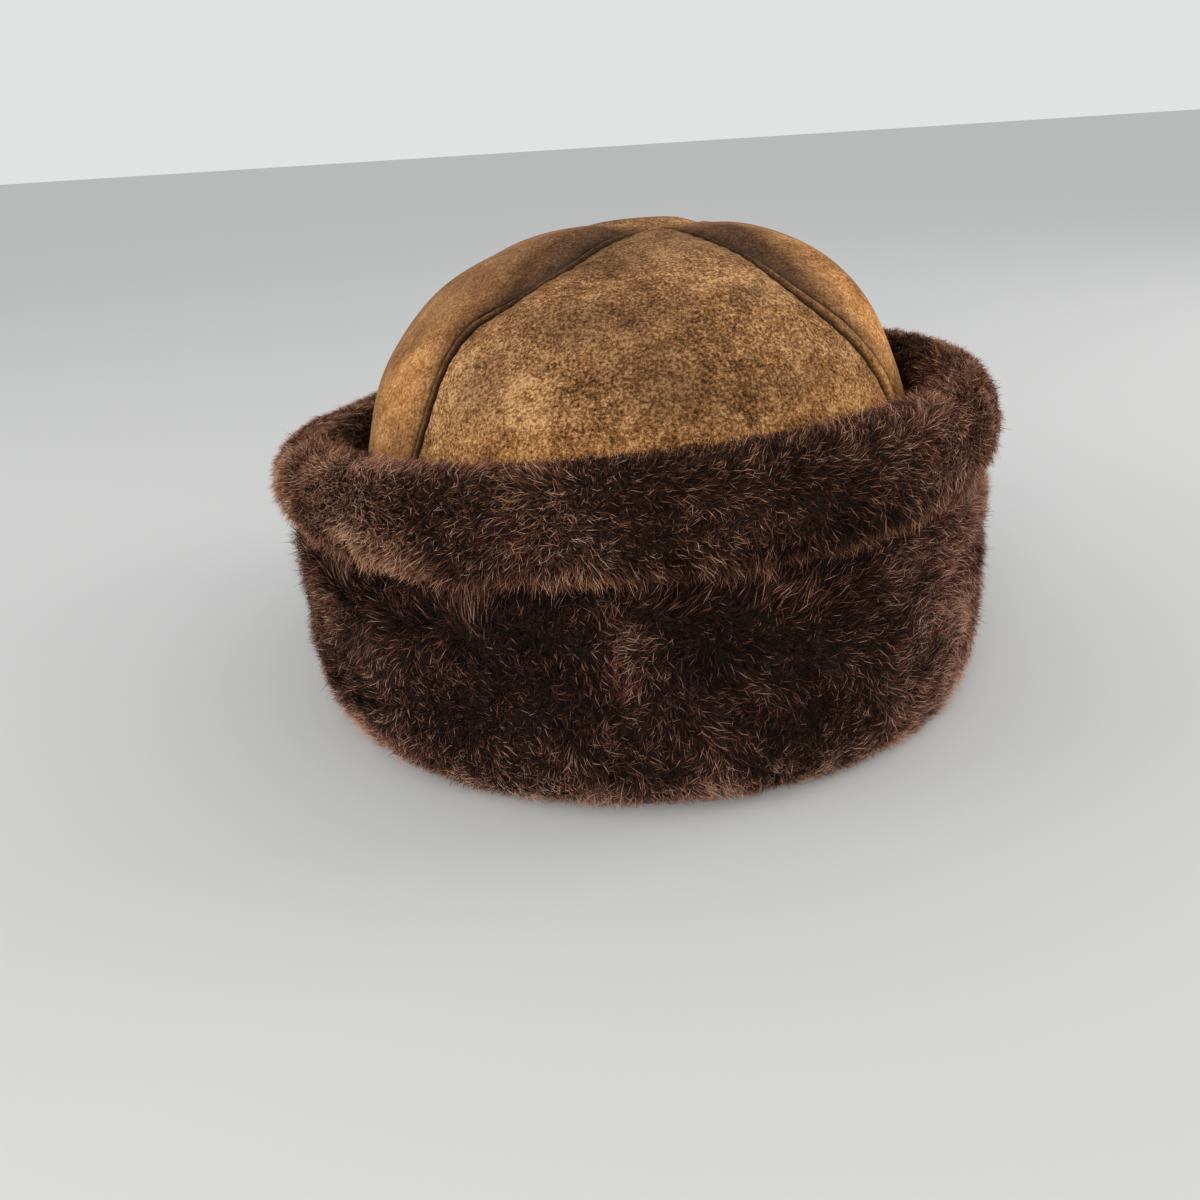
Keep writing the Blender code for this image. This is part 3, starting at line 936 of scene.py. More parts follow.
        # Painted shade in the seam groove and, on a welted gore, in the stitched groove
        seam = self.seam_shade * np.exp(-((to_seam / self.seam_shade_reach) ** 2))
        if gore.welted:
            beyond = to_seam - width
            seam = seam + self.stitch_shade * np.exp(-((beyond / self.stitch_shade_reach) ** 2))
            # Painted shade with dirt in the hollow beyond the welt, strongest at one rise
            high = np.exp(-(((at.rise - self.hollow_shadow_rise) / self.hollow_shadow_length) ** 2))
            shadow_and_dirt = self.hollow_shadow_and_dirt + self.hollow_shadow_and_dirt_high * high
            seam = seam + shadow_and_dirt * np.exp(-((beyond / self.hollow_shadow_reach) ** 2)) * (beyond > 0)
        values = {self.SEAM_ATTRIBUTE: seam}
        for name, patches in ((self.RUBBED_AND_HIGHLIT_ATTRIBUTE, RUBBED_AND_HIGHLIT), (self.SOILED_AND_SHADED_ATTRIBUTE, SOILED_AND_SHADED)):
            values[name] = self.patched(np.zeros(at.azimuth.shape), patches, at)
        return {name: np.clip(np.concatenate([v[:1], v]), 0, 1) for name, v in values.items()}

    def gore_mesh(self, gore: Gore) -> bpy.types.Mesh:
        """Closed shell of a gore: outer and inner skins joined along both seams, the foot and the tip.

        The inner skin's faces take the second material.

        Args:
            gore: the gore.

        Returns:
            The mesh, with its wear, dirt and painted light and shade as attributes.
        """
        outer, outer_tip, places = self.gore_grid(gore, 0.0)
        inner, inner_tip, _ = self.gore_grid(gore, self.hide)
        rows, columns = outer.shape[:2]
        number = np.arange(rows * columns).reshape(rows, columns)
        shift = rows * columns + 1
        out_tip, in_tip = shift - 1, 2 * shift - 1
        skin = np.stack([number[:-1, :-1], number[:-1, 1:], number[1:, 1:], number[1:, :-1]], -1)
        skin = skin.reshape(-1, 4)
        first, last, top, bottom = number[:, 0], number[:, -1], number[-1], number[0]
        rims = np.concatenate(
            [
                np.stack([first[1:], shift + first[1:], shift + first[:-1], first[:-1]], -1),
                np.stack([last[:-1], shift + last[:-1], shift + last[1:], last[1:]], -1),
                np.stack([bottom[1:], bottom[:-1], shift + bottom[:-1], shift + bottom[1:]], -1),
                [[out_tip, in_tip, shift + top[0], top[0]], [top[-1], shift + top[-1], in_tip, out_tip]],
            ]
        )
        quads = np.concatenate([skin, rims, shift + skin[:, ::-1]])
        out_fan = np.stack([top[:-1], top[1:], np.full(columns - 1, out_tip)], -1)
        in_fan = np.stack([shift + top[1:], shift + top[:-1], np.full(columns - 1, in_tip)], -1)
        points = np.concatenate([outer.reshape(-1, 3), outer_tip, inner.reshape(-1, 3), inner_tip])
        mesh = make_mesh(gore.piece, points, quads, np.concatenate([out_fan, in_fan]))
        wool_side = np.zeros(len(mesh.polygons), np.int32)
        wool_side[len(skin) + len(rims) : len(quads)] = 1
        wool_side[len(quads) + len(out_fan) :] = 1
        mesh.polygons.foreach_set("material_index", wool_side)
        mesh.set_sharp_from_angle(angle=math.radians(self.crease))
        for name, values in self.shades(gore, places).items():
            one_skin = np.append(values.ravel(), values[-1].mean())
            both = np.tile(one_skin, 2).astype(np.float32)
            mesh.attributes.new(name, "FLOAT", "POINT").data.foreach_set("value", both)
        return mesh

    def stitch_line(self, gore: Gore, at_last: bool) -> tuple[np.ndarray, np.ndarray]:
        """Path of a welt's stitched groove up the crown.

        Args:
            gore: a welted gore.
            at_last: whether the welt is beside the gore's last seam, else its first.

        Returns:
            Places along the groove from the foot to near the pole, and the outward directions there.
        """
        angle = self.dome_angles()[:-1]
        rise = np.linspace(0, 1, self.rows + 1)[:-1]
        keep = rise < self.stitches_to
        angle, rise = angle[keep], rise[keep]
        reach = self.oval.half_width * np.cos(angle) ** (2 / self.shoulder)
        name, side = (gore.last_seam, -1) if at_last else (gore.first_seam, 1)
        azimuth = self.seam_azimuth(name, rise) + side * self.welt_width(name, rise) / reach
        line = self.point(azimuth, angle, rise, 0.0, gore)
        below = self.point(azimuth, angle, rise, self.hide, gore)
        return line, unit(line - below)

    def stitches(self) -> bpy.types.Mesh:
        """Stitches in the welts' grooves, each a thread along a half-sine arch that is sunk at its ends.

        Returns:
            The mesh of all the stitches, as closed tubes.
        """
        # Two quads close each end, which takes six sides
        rings, sides = len(self.THREAD_TAPER), 6
        share = np.linspace(0, 1, rings)
        round_angles = np.arange(sides) * TURN / sides
        blocks = []
        for gore in GORES:
            if not gore.welted:
                continue
            for at_last in (False, True):
                line, outward = self.stitch_line(gore, at_last)
                steps = np.linalg.norm(np.diff(line, axis=0), axis=1)
                length = np.concatenate([[0], np.cumsum(steps)])
                starts = np.arange(0.5 * self.stitch_pitch, length[-1] - self.stitch_pitch, self.stitch_pitch)
                where = starts[:, None] + share * self.stitch_length
                middle = np.stack([np.interp(where, length, line[:, axis]) for axis in range(3)], -1)
                normal = unit(np.stack([np.interp(where, length, outward[:, axis]) for axis in range(3)], -1))
                arch = self.thread * (self.stitch_arch * np.sin(math.pi * share) - self.stitch_sink)
                middle = middle + normal * arch[:, None]
                tangent = unit(np.gradient(middle, axis=1))
                aside = unit(np.cross(tangent, normal))
                up = np.cross(aside, tangent)
                wide = self.thread * np.array(self.THREAD_TAPER)[:, None, None]
                ring = (
                    np.cos(round_angles)[:, None] * aside[:, :, None, :]
                    + np.sin(round_angles)[:, None] * up[:, :, None, :]
                )
                blocks.append(middle[:, :, None, :] + wide * ring)
        tubes = np.concatenate(blocks)
        count = len(tubes)
        number = np.arange(count * rings * sides).reshape(count, rings, sides)
        beside = np.roll(number, -1, axis=2)
        tube_skin = np.stack([number[:, :-1], number[:, 1:], beside[:, 1:], beside[:, :-1]], -1)
        ends = [
            np.concatenate([number[:, 0, [0, 1, 2, 3]], number[:, 0, [0, 3, 4, 5]]]),
            np.concatenate([number[:, -1, [3, 2, 1, 0]], number[:, -1, [5, 4, 3, 0]]]),
        ]
        quads = np.concatenate([tube_skin.reshape(-1, 4), *ends])
        return make_mesh("seam_stitches", tubes.reshape(-1, 3), quads, np.zeros((0, 3), int))

    def build(self, suedes: dict[Slot, BrushedSuede], lining: WoolPile, thread: WaxedThread) -> None:
        """Builds and dresses the gores and the stitches.

        Args:
            suedes: the finish of each suede slot.
            lining: the wool on the skins' inner side.
            thread: the stitches' finish.
        """
        wool = lining.material()
        dressed = {slot: finish.material() for slot, finish in suedes.items()}
        for gore in GORES:
            add_piece(self.gore_mesh(gore), [dressed[gore.slot], wool], (gore.node,))
        add_piece(self.stitches(), [thread.material()])


# The cuff.


@dataclass(frozen=True)
class Station:
    """Station of a fleece section: its distance out, and its shares of the ring's height and of the locks."""

    out: float
    height: float
    locks: float


@dataclass(frozen=True)
class Cuff:
    """Heights and locks that the fleece rings of the cuff share.

    Sizes are in metres, and the slump's azimuth and reach are in degrees. The lock spread is a bump's half
    size, the shift how far it strays and the mean its level, as shares of the lock's own size.
    """

    oval: PlanOval
    groove: float = 74 * MM
    groove_right: float = 4 * MM
    top: float = 101 * MM
    top_front: float = 8 * MM
    top_right: float = 6 * MM
    slump_azimuth: float = 243
    slump_reach: float = 34
    slump_depth: float = 6 * MM
    fleece_out: float = 25 * MM
    lock_width: float = 26 * MM
    lock_length: float = 21 * MM
    lock_relief: float = 3.4 * MM
    lock_spread: float = 0.8
    lock_shift: float = 0.3
    lock_mean: float = 0.75
    lock_seed: int = 7

    @property
    def circumference(self) -> float:
        """Length round the fleece."""
        return math.pi * (self.oval.half_width + self.oval.half_length + 2 * self.fleece_out)

    def groove_height(self, azimuth: np.ndarray) -> np.ndarray:
        """Height of the groove between the band and the roll."""
        return self.groove + self.groove_right * np.sin(azimuth)

    def top_height(self, azimuth: np.ndarray) -> np.ndarray:
        """Height of the cuff's top edge, with a slump at the left back as a bell curve.

        Args:
            azimuth: directions in radians.

        Returns:
            The height at each azimuth.
        """
        turn = turn_from(azimuth, math.radians(self.slump_azimuth))
        slump = self.slump_depth * np.exp(-((turn / math.radians(self.slump_reach)) ** 2))
        return self.top + self.top_front * np.cos(azimuth) + self.top_right * np.sin(azimuth) - slump

    def locks(self, azimuth: np.ndarray, height: np.ndarray) -> np.ndarray:
        """Relief of the fleece's locks: staggered round bumps with seeded shifts, the highest at each place.

        Args:
            azimuth: directions of the places in radians.
            height: heights of the places.

        Returns:
            The relief in metres.
        """
        per_row = int(self.circumference / self.lock_width)
        rows = math.ceil((self.top + self.top_front + self.top_right) / self.lock_length) + 1
        shifts = np.random.default_rng(self.lock_seed).uniform(
            -self.lock_shift, self.lock_shift, (rows, per_row, 3)
        )
        row, place = np.meshgrid(np.arange(rows), np.arange(per_row), indexing="ij")
        around = ((place + 0.5 * (row % 2) + shifts[..., 0]) / per_row).ravel()
        centre_height = ((row + shifts[..., 1]) * self.lock_length).ravel()
        size = (1 + shifts[..., 2]).ravel()
        aside = (azimuth.ravel()[:, None] / TURN - around + 0.5) % 1 - 0.5
        aside = aside * self.circumference / (self.lock_spread * self.lock_width * size)
        along = (height.ravel()[:, None] - centre_height) / (self.lock_spread * self.lock_length)
        bump = np.sqrt(np.clip(1 - aside**2 - along**2, 0, None)).max(axis=1)
        return (self.lock_relief * (bump - self.lock_mean)).reshape(height.shape)


@dataclass(frozen=True)
class FibreField:
    """Growth of a ring's fibres: how many, how wide, how they lean, clump and crimp, and their colour.

    The flow is the direction of the lean in degrees, from round the hat towards up the section, and the
    swirl, curl and own turn change it. Reaches are shares of the way from the pile to the tips. A tone runs
    from 0, darkest, to 1. A fibre is drawn some six times as wide as real wool, so that it still shows.
    """

    count: int
    seed: int
    flow: float
    tone: float
    width: float = 0.18 * MM
    width_range: tuple[float, float] = (0.7, 1.3)
    upper_width: float = 0.9
    lean: float = 2.9 * MM
    lean_size: float = 30 * MM
    lean_change: float = 0.25
    swirl_size: float = 80 * MM
    swirl: float = 75
    curl_size: float = 24 * MM
    curl: float = 42
    own_turn: float = 34
    clump_size: float = 1.9 * MM
    clump_pull: float = 0.45
    tuft_size: float = 7 * MM
    tuft_pull: float = 0.26
    wobble: float = 2.0 * MM
    wobble_size: float = 9 * MM
    stand: float = 0.7
    bend_at: float = 0.55
    crimp: float = 0.8 * MM
    stray: float = 0.75 * MM
    roll: float = 1.1
    reach: float = 0.84
    clump_reach: float = 0.26
    tuft_reach: float = 0.30
    reach_spread: float = 0.14
    short: float = 0.25
    reach_range: tuple[float, float] = (0.4, 1.5)
    own_normal: float = 0.8
    wide_tone: float = 0.07
    wide_tone_size: float = 42 * MM
    fine_tone: float = 0.05
    fine_tone_size: float = 14 * MM
    clump_tone: float = 0.20
    tuft_tone: float = 0.15
    strand: float = 0.84
    strand_power: float = 3.6


@dataclass(frozen=True)
class FleeceRing(ABC):
    """Ring of fleece round the cuff.

    Its tips follow one section and the skin of its dense pile another, with the same stations. Fibres grow
    from the second to the first. The tail is the pile's plain back, as distances out and shares of height.
    """

    name: str
    node: str
    slot: Slot
    cuff: Cuff
    tips: tuple[Station, ...]
    pile: tuple[Station, ...]
    tail: tuple[tuple[float, float], ...]
    swell_front: float
    swell_right: float
    field: FibreField
    shades: tuple[Patch, ...]
    # Painted shade in the locks' hollows, as tone per metre of relief
    lock_shade: float = 60.0
    section_height: float = 80 * MM
    tip_tufts: float = 0.55 * MM
    pile_tufts: float = 0.5 * MM
    tuft_sizes: tuple[float, float] = (11 * MM, 5 * MM)
    small_tufts: float = 0.6
    tuft_seed: int = 21
    rows: int = 130
    columns: int = 960
    pile_rows: int = 44
    pile_columns: int = 320
    crease: float = 60

    # Clumps take their middle and number from this many seeded ones, by these steps of column and row
    CLUMP_KINDS = 4096
    CLUMP_STEPS = (1597, 7919)
    # Where in its cell a clump's middle may lie, as its start and span
    CLUMP_START, CLUMP_SPAN = 0.2, 0.6
    # Lowest part of a fibre over the floor, and how much higher it may be
    OFF_FLOOR, OFF_FLOOR_MORE = 0.1 * MM, 0.5 * MM

    @abstractmethod
    def edges(self, azimuth: np.ndarray) -> tuple[np.ndarray, np.ndarray]:
        """Heights of the ring's low and high edges over the azimuth."""

    @abstractmethod
    def comb(self, place: np.ndarray, share: np.ndarray) -> np.ndarray:
        """How far the fibres are brushed along the section, beyond their own lean."""

    @abstractmethod
    def spill(self, place: np.ndarray, share: np.ndarray) -> np.ndarray:
        """How much further than the tips' surface the fibres reach, as a share of their length."""

    @abstractmethod
    def painted_light_and_bleach(self, place: np.ndarray) -> np.ndarray:
        """How much lighter or darker the fibres' tone is: painted light and shade, and on the band's lower
        edge also bleached tips.
        """

    def even_places(self, rows: int) -> tuple[np.ndarray, float]:
        """Places that are evenly spaced along the tips' section.

        Args:
            rows: how many places.

        Returns:
            The places in stations, and the section's length in metres.
        """
        stations = self.section(self.tips)
        spans, steps_a_span = len(stations) - 1, 24
        fine = np.linspace(0, spans, steps_a_span * spans + 1)
        curve = catmull_rom(stations, fine)
        length = np.concatenate([[0], np.cumsum(np.hypot(*np.diff(curve[:, :2], axis=0).T))])
        return np.interp(np.linspace(0, length[-1], rows), length, fine), float(length[-1])

    def section(self, stations: tuple[Station, ...]) -> np.ndarray:
        """Stations as rows of distance out, height in metres and share of locks."""
        return np.array([(s.out, s.height * self.section_height, s.locks) for s in stations])

    def surface(self, stations: tuple[Station, ...], rows: int, columns: int, tufts: float) -> np.ndarray:
        """Places of a section carried round the hat.

        Each place stands out from the oval by its section's distance, plus the locks, the ring's swell and
        fine tufts in the section's share of locks.

        Args:
            stations: the section.
            rows: places along the section.
            columns: places round the hat.
            tufts: height of the fine tufts.

        Returns:
            The grid by rows and columns.
        """
        where, _ = self.even_places(rows)
        curve = catmull_rom(self.section(stations), where)
        azimuth = np.arange(columns) * TURN / columns
        low, high = self.edges(azimuth)
        height = low + (curve[:, 1] / self.section_height)[:, None] * (high - low)
        grid_azimuth = np.broadcast_to(azimuth, height.shape)
        swell = self.swell_front * np.cos(azimuth) + self.swell_right * np.sin(azimuth)
        out = curve[:, :1] + (self.cuff.locks(grid_azimuth, height) + swell) * curve[:, 2:]
        x, y, out_x, out_y = self.cuff.oval.at(azimuth)
        plain = np.stack([x + out_x * out, y + out_y * out, height], -1)
        large, small = (ripple(plain, size, self.tuft_seed + n) for n, size in enumerate(self.tuft_sizes))
        lift = tufts * (large + self.small_tufts * small) * curve[:, 2:]
        return np.stack([x + out_x * (out + lift), y + out_y * (out + lift), height], -1)

    def pile_mesh(self) -> bpy.types.Mesh:
        """Closed ring of the dense pile: its section, and its plain tail against the hide.

        Returns:
            The mesh.
        """
        outside = self.surface(self.pile, self.pile_rows, self.pile_columns, self.pile_tufts)
        azimuth = np.arange(self.pile_columns) * TURN / self.pile_columns
        low, high = self.edges(azimuth)
        x, y, out_x, out_y = self.cuff.oval.at(azimuth)
        tail = [
            np.stack([x + out_x * out, y + out_y * out, low + share * (high - low)], -1)
            for out, share in self.tail
        ]
        grid = np.concatenate([outside, np.array(tail)])
        rows, columns = grid.shape[:2]
        number = np.arange(rows * columns).reshape(rows, columns)
        beside, after = np.roll(number, -1, axis=1), np.roll(number, -1, axis=0)
        quads = np.stack([number, beside, np.roll(after, -1, axis=1), after], -1).reshape(-1, 4)
        mesh = make_mesh(f"{self.name}_pile", grid.reshape(-1, 3), quads, np.zeros((0, 3), int))
        mesh.set_sharp_from_angle(angle=math.radians(self.crease))
        return mesh

    def lean(self, place: np.ndarray, share: np.ndarray) -> tuple[np.ndarray, np.ndarray]:
        """Sideways and upward lean of the fibres in metres.

        The direction turns about the flow with smooth noise of two sizes, and the amount with a third.

        Args:
            place: the fibres' places.
            share: how far along the section each fibre stands, from 0 to 1.

        Returns:
            The lean round the hat and the lean along the section.
        """
        field = self.field
        own = np.random.default_rng(field.seed + 9).normal(0, field.own_turn, len(place))
        turn = np.radians(
            field.flow
            + field.swirl * ripple(place, field.swirl_size, field.seed + 1)
            + field.curl * ripple(place, field.curl_size, field.seed + 2)
            + own
        )
        amount = field.lean * (1 + field.lean_change * ripple(place, field.lean_size, field.seed + 3))
        return amount * np.cos(turn), amount * np.sin(turn) + self.comb(place, share)

    def patches(self, azimuth: np.ndarray, height: np.ndarray) -> np.ndarray:
        """Change of tone by the locks, whose hollows are darker as painted shade, and by the ring's patches.
        """
        locks = self.lock_shade * self.cuff.locks(azimuth, height)
        return add_patches(locks, self.shades, azimuth, height, (self.cuff.circumference / TURN, 1.0))

    def clumped(
        self, around: np.ndarray, along: np.ndarray, size: float, seed: int
    ) -> tuple[np.ndarray, np.ndarray, np.ndarray]:
        """Pull of each fibre towards the middle of its clump.

        Clumps are the cells of a square grid with seeded middles.

        Args:
            around: places round the hat in metres.
            along: places along the section in metres.
            size: width of a cell.
            seed: seed of the middles.

        Returns:
            The steps to the middle round the hat and along the section, and a seeded number of each clump.
        """
        kinds = np.random.default_rng(seed).uniform(0, 1, (self.CLUMP_KINDS, 3))
        column, row = np.floor(around / size), np.floor(along / size)
        step_a, step_b = self.CLUMP_STEPS
        chosen = kinds[(column.astype(int) * step_a + row.astype(int) * step_b) % len(kinds)]
        middle_around = (column + self.CLUMP_START + self.CLUMP_SPAN * chosen[:, 0]) * size
        middle_along = (row + self.CLUMP_START + self.CLUMP_SPAN * chosen[:, 1]) * size
        return middle_around - around, middle_along - along, chosen[:, 2]

    def fibre_roots(
        self, tips: np.ndarray, random: np.random.Generator
    ) -> tuple[np.ndarray, np.ndarray]:
        """Places where the fibres grow, spread evenly over the tips' area.

        Args:
            tips: the grid of the tips' surface.
            random: the source of the draws.

        Returns:
            The row and the column of each fibre.
        """
        edge_a = np.diff(tips, axis=0)
        edge_b = np.roll(tips, -1, axis=1)[:-1] - tips[:-1]
        area = np.linalg.norm(np.cross(edge_a, edge_b), axis=-1)
        total = np.cumsum(area.ravel())
        count = self.field.count
        picks = (np.arange(count) + random.uniform(0, 1, count)) / count
        cell = np.minimum(np.searchsorted(total, picks * total[-1]), area.size - 1)
        row, column = np.divmod(cell, area.shape[1])
        return row + random.uniform(0, 1, cell.size), column + random.uniform(0, 1, cell.size)

    def fibres(self) -> tuple[np.ndarray, np.ndarray, np.ndarray]:
        """Ribbons of all the ring's fibres.

        Each fibre is a quadratic Bezier curve from the pile to the tips' surface, in three points. Its
        control point stands straight over its root, its tip leans with the flow and is drawn to its clump's
        middle, and its middle is pushed aside as a crimp. A flat ribbon runs along it, rolled by a seeded
        angle.

        Returns:
            Five points for each fibre, the map's U and V at each, and each fibre's normal.
        """
        field = self.field
        random = np.random.default_rng(field.seed)
        tips = self.surface(self.tips, self.rows, self.columns, self.tip_tufts)
        pile = self.surface(self.pile, self.rows, self.columns, self.pile_tufts)
        row, column = self.fibre_roots(tips, random)
        count = row.size
        _, length = self.even_places(self.rows)
        per_row, per_column = length / (self.rows - 1), self.cuff.circumference / self.columns
        root = sample_grid(pile, row, column)
        over = sample_grid(tips, row, column)
        outward = unit(over - root)
        share = row / (self.rows - 1)
        lean_around, lean_along = self.lean(over, share)
        wobble = field.wobble * ripple(over, field.wobble_size, field.seed + 4)
        around, along = column * per_column + wobble, row * per_row - wobble
        small_around, small_along, small = self.clumped(around, along, field.clump_size, field.seed + 5)
        tuft_around, tuft_along, tuft = self.clumped(around, along, field.tuft_size, field.seed + 6)
        to_around = lean_around + field.clump_pull * small_around + field.tuft_pull * tuft_around
        to_along = lean_along + field.clump_pull * small_along + field.tuft_pull * tuft_along
        tip_row, tip_column = row + to_along / per_row, column + to_around / per_column
        under, top = (sample_grid(grid, tip_row, tip_column) for grid in (pile, tips))
        reach = field.reach + field.clump_reach * (small - 0.5) + field.tuft_reach * (tuft - 0.5)
        reach = reach + self.spill(over, share) + field.reach_spread * random.normal(0, 1, count)
        reach = np.clip(reach - field.short * random.uniform(0, 1, count) ** 3, *field.reach_range)
        tip = under + reach[:, None] * (top - under)
        tip = tip + random.normal(0, field.stray, (count, 3))
        stand = np.linalg.norm(over - root, axis=1)[:, None]
        control = root + outward * (field.stand * stand)

        steps = np.array([0.0, field.bend_at, 1.0])[:, None, None]
        path = (1 - steps) ** 2 * root + 2 * steps * (1 - steps) * control + steps**2 * tip
        tangent = unit(np.gradient(path, axis=0))
        flat = unit(np.cross(tangent, outward))
        path[1] = path[1] + flat[1] * random.normal(0, field.crimp, count)[:, None]
        floor = self.OFF_FLOOR + self.OFF_FLOOR_MORE * random.uniform(0, 1, count)
        path[..., 2] = np.maximum(path[..., 2], floor)
        turn = random.uniform(-field.roll, field.roll, count)[:, None]
        across = np.cos(turn) * flat + np.sin(turn) * np.cross(tangent, flat)
        light = random.uniform(0, 1, count) ** field.strand_power
        width = 0.5 * field.width * random.uniform(*field.width_range, count)[:, None]
        half = across[:2] * width * np.array([1.0, field.upper_width])[:, None, None]
        sides = [path[0] - half[0], path[0] + half[0], path[1] - half[1], path[1] + half[1]]
        ribbon = np.stack([*sides, path[2]], axis=1)
        facing = unit(np.cross(across[1], tangent[1]))
        facing = unit(field.own_normal * facing + (1 - field.own_normal) * outward)
        # Tone: the fibre's own and random tones, the painted light of the edges and sides, and the patches
        # and locks, some of them painted light and shade
        tone = (
            field.tone
            + field.wide_tone * ripple(over, field.wide_tone_size, field.seed + 7)
            + field.fine_tone * ripple(over, field.fine_tone_size, field.seed + 8)
            + field.clump_tone * (small - 0.5)
            + field.tuft_tone * (tuft - 0.5)
            + field.strand * light
            + self.painted_light_and_bleach(over)
            + self.patches(column * TURN / self.columns, over[:, 2])
        )
        # A fibre's own strip of the map, which stays clear of the map's edges
        low, high, strip = 0.02, 0.98, 0.012
        u = np.clip(tone, low, high)[:, None] + strip * np.array([-1, 1, -1, 1, 0])
        v = np.broadcast_to(np.array([low, low, 0.5, 0.5, high]), (count, 5))
        return ribbon, np.stack([u, v], -1), facing

    def fibre_mesh(
        self, sector: Sector, ribbon: np.ndarray, uv: np.ndarray, facing: np.ndarray
    ) -> bpy.types.Mesh:
        """Mesh of the fibres in one third of the ring.

        Args:
            sector: the third.
            ribbon: five points for each fibre.
            uv: the map at each point.
            facing: each fibre's normal.

        Returns:
            The mesh, with its map and its normals.
        """
        name, start = sector.value
        azimuth = np.degrees(np.arctan2(ribbon[:, 0, 0], -ribbon[:, 0, 1]))
        chosen = (azimuth - start) % 360 < 360 / len(Sector)
        points, corner_uv = ribbon[chosen].reshape(-1, 3), uv[chosen].reshape(-1, 2)
        base = np.arange(chosen.sum())[:, None] * 5
        quads, triangles = base + [0, 1, 3, 2], base + [2, 3, 4]
        mesh = make_mesh(f"{self.name}_fibres_{name}", points, quads, triangles)
        corners = np.concatenate([quads.ravel(), triangles.ravel()])
        layer = mesh.uv_layers.new(name=FLEECE_MAP)
        layer.data.foreach_set("uv", corner_uv[corners].astype(np.float32).ravel())
        mesh.normals_split_custom_set_from_vertices(np.repeat(facing[chosen], 5, axis=0))
        return mesh

    def build(self, pile: WoolPile, fibre: WoolFibre) -> None:
        """Builds and dresses the pile and the fibres.

        Args:
            pile: the finish of the dense pile.
            fibre: the finish of the fibres.
        """
        add_piece(self.pile_mesh(), [pile.material()], (self.node,))
        ribbon, uv, facing = self.fibres()
        dressed = fibre.material()
        for sector in Sector:
            add_piece(self.fibre_mesh(sector, ribbon, uv, facing), [dressed], (self.node,))


@dataclass(frozen=True)
class BandRing(FleeceRing):
    """Lower band, from the floor to the groove.

    Pairs are the two values that a smooth step runs between: shares of the section, metres or, for the
    painted light of the sides, shares of the half width.
    """

    over_shares: tuple[float, float] = (0.64, 0.84)
    over_size: float = 16 * MM
    over_mean: float = 0.75
    over_change: float = 0.35
    bare_right: float = 0.9
    bare_places: tuple[float, float] = (25 * MM, 60 * MM)
    brushed_up: float = 6.0 * MM
    over_spill: float = 0.8
    edge_bleach_and_painted_light: float = 0.66
    edge_heights: tuple[float, float] = (2 * MM, 20 * MM)
    edge_wobble: float = 3 * MM
    edge_size: float = 18 * MM
    side_painted_light: float = 0.14
    side_places: tuple[float, float] = (0.35, 0.85)
    right_painted_light: float = 0.36
    right_places: tuple[float, float] = (0.30, 0.80)

    def edges(self, azimuth: np.ndarray) -> tuple[np.ndarray, np.ndarray]:
        """The floor and the groove."""
        return 0 * azimuth, self.cuff.groove_height(azimuth)

    def over_groove(self, place: np.ndarray, share: np.ndarray) -> np.ndarray:
        """How far the groove is grown over, in uneven tufts: hardly at all on the right.

        Args:
            place: the fibres' places.
            share: how far along the section each fibre stands.

        Returns:
            The amount, mostly from 0 to 1.
        """
        tufts = self.over_mean + self.over_change * ripple(place, self.over_size, 31)
        bare = self.bare_right * smoothstep(place[:, 0], *self.bare_places)
        return smoothstep(share, *self.over_shares) * tufts * (1 - bare)

    def comb(self, place: np.ndarray, share: np.ndarray) -> np.ndarray:
        """The upper edge is brushed up over the groove."""
        return self.brushed_up * self.over_groove(place, share)

    def spill(self, place: np.ndarray, share: np.ndarray) -> np.ndarray:
        """Fibres reach out at the groove."""
        return self.over_spill * self.over_groove(place, share)

    def painted_light_and_bleach(self, place: np.ndarray) -> np.ndarray:
        """Painted light on the fibres at the sides, most of all on the right, and along the bottom edge,
        where bleached tips also make them lighter.

        Args:
            place: the fibres' places.

        Returns:
            The change of tone.
        """
        aside = place[:, 0] / (self.cuff.oval.half_width + self.cuff.fleece_out)
        height = place[:, 2] + self.edge_wobble * ripple(place, self.edge_size, 32)
        edge = self.edge_bleach_and_painted_light * (1 - smoothstep(height, *self.edge_heights))
        sides = self.side_painted_light * smoothstep(np.abs(aside), *self.side_places)
        return edge + (sides + self.right_painted_light * smoothstep(aside, *self.right_places))


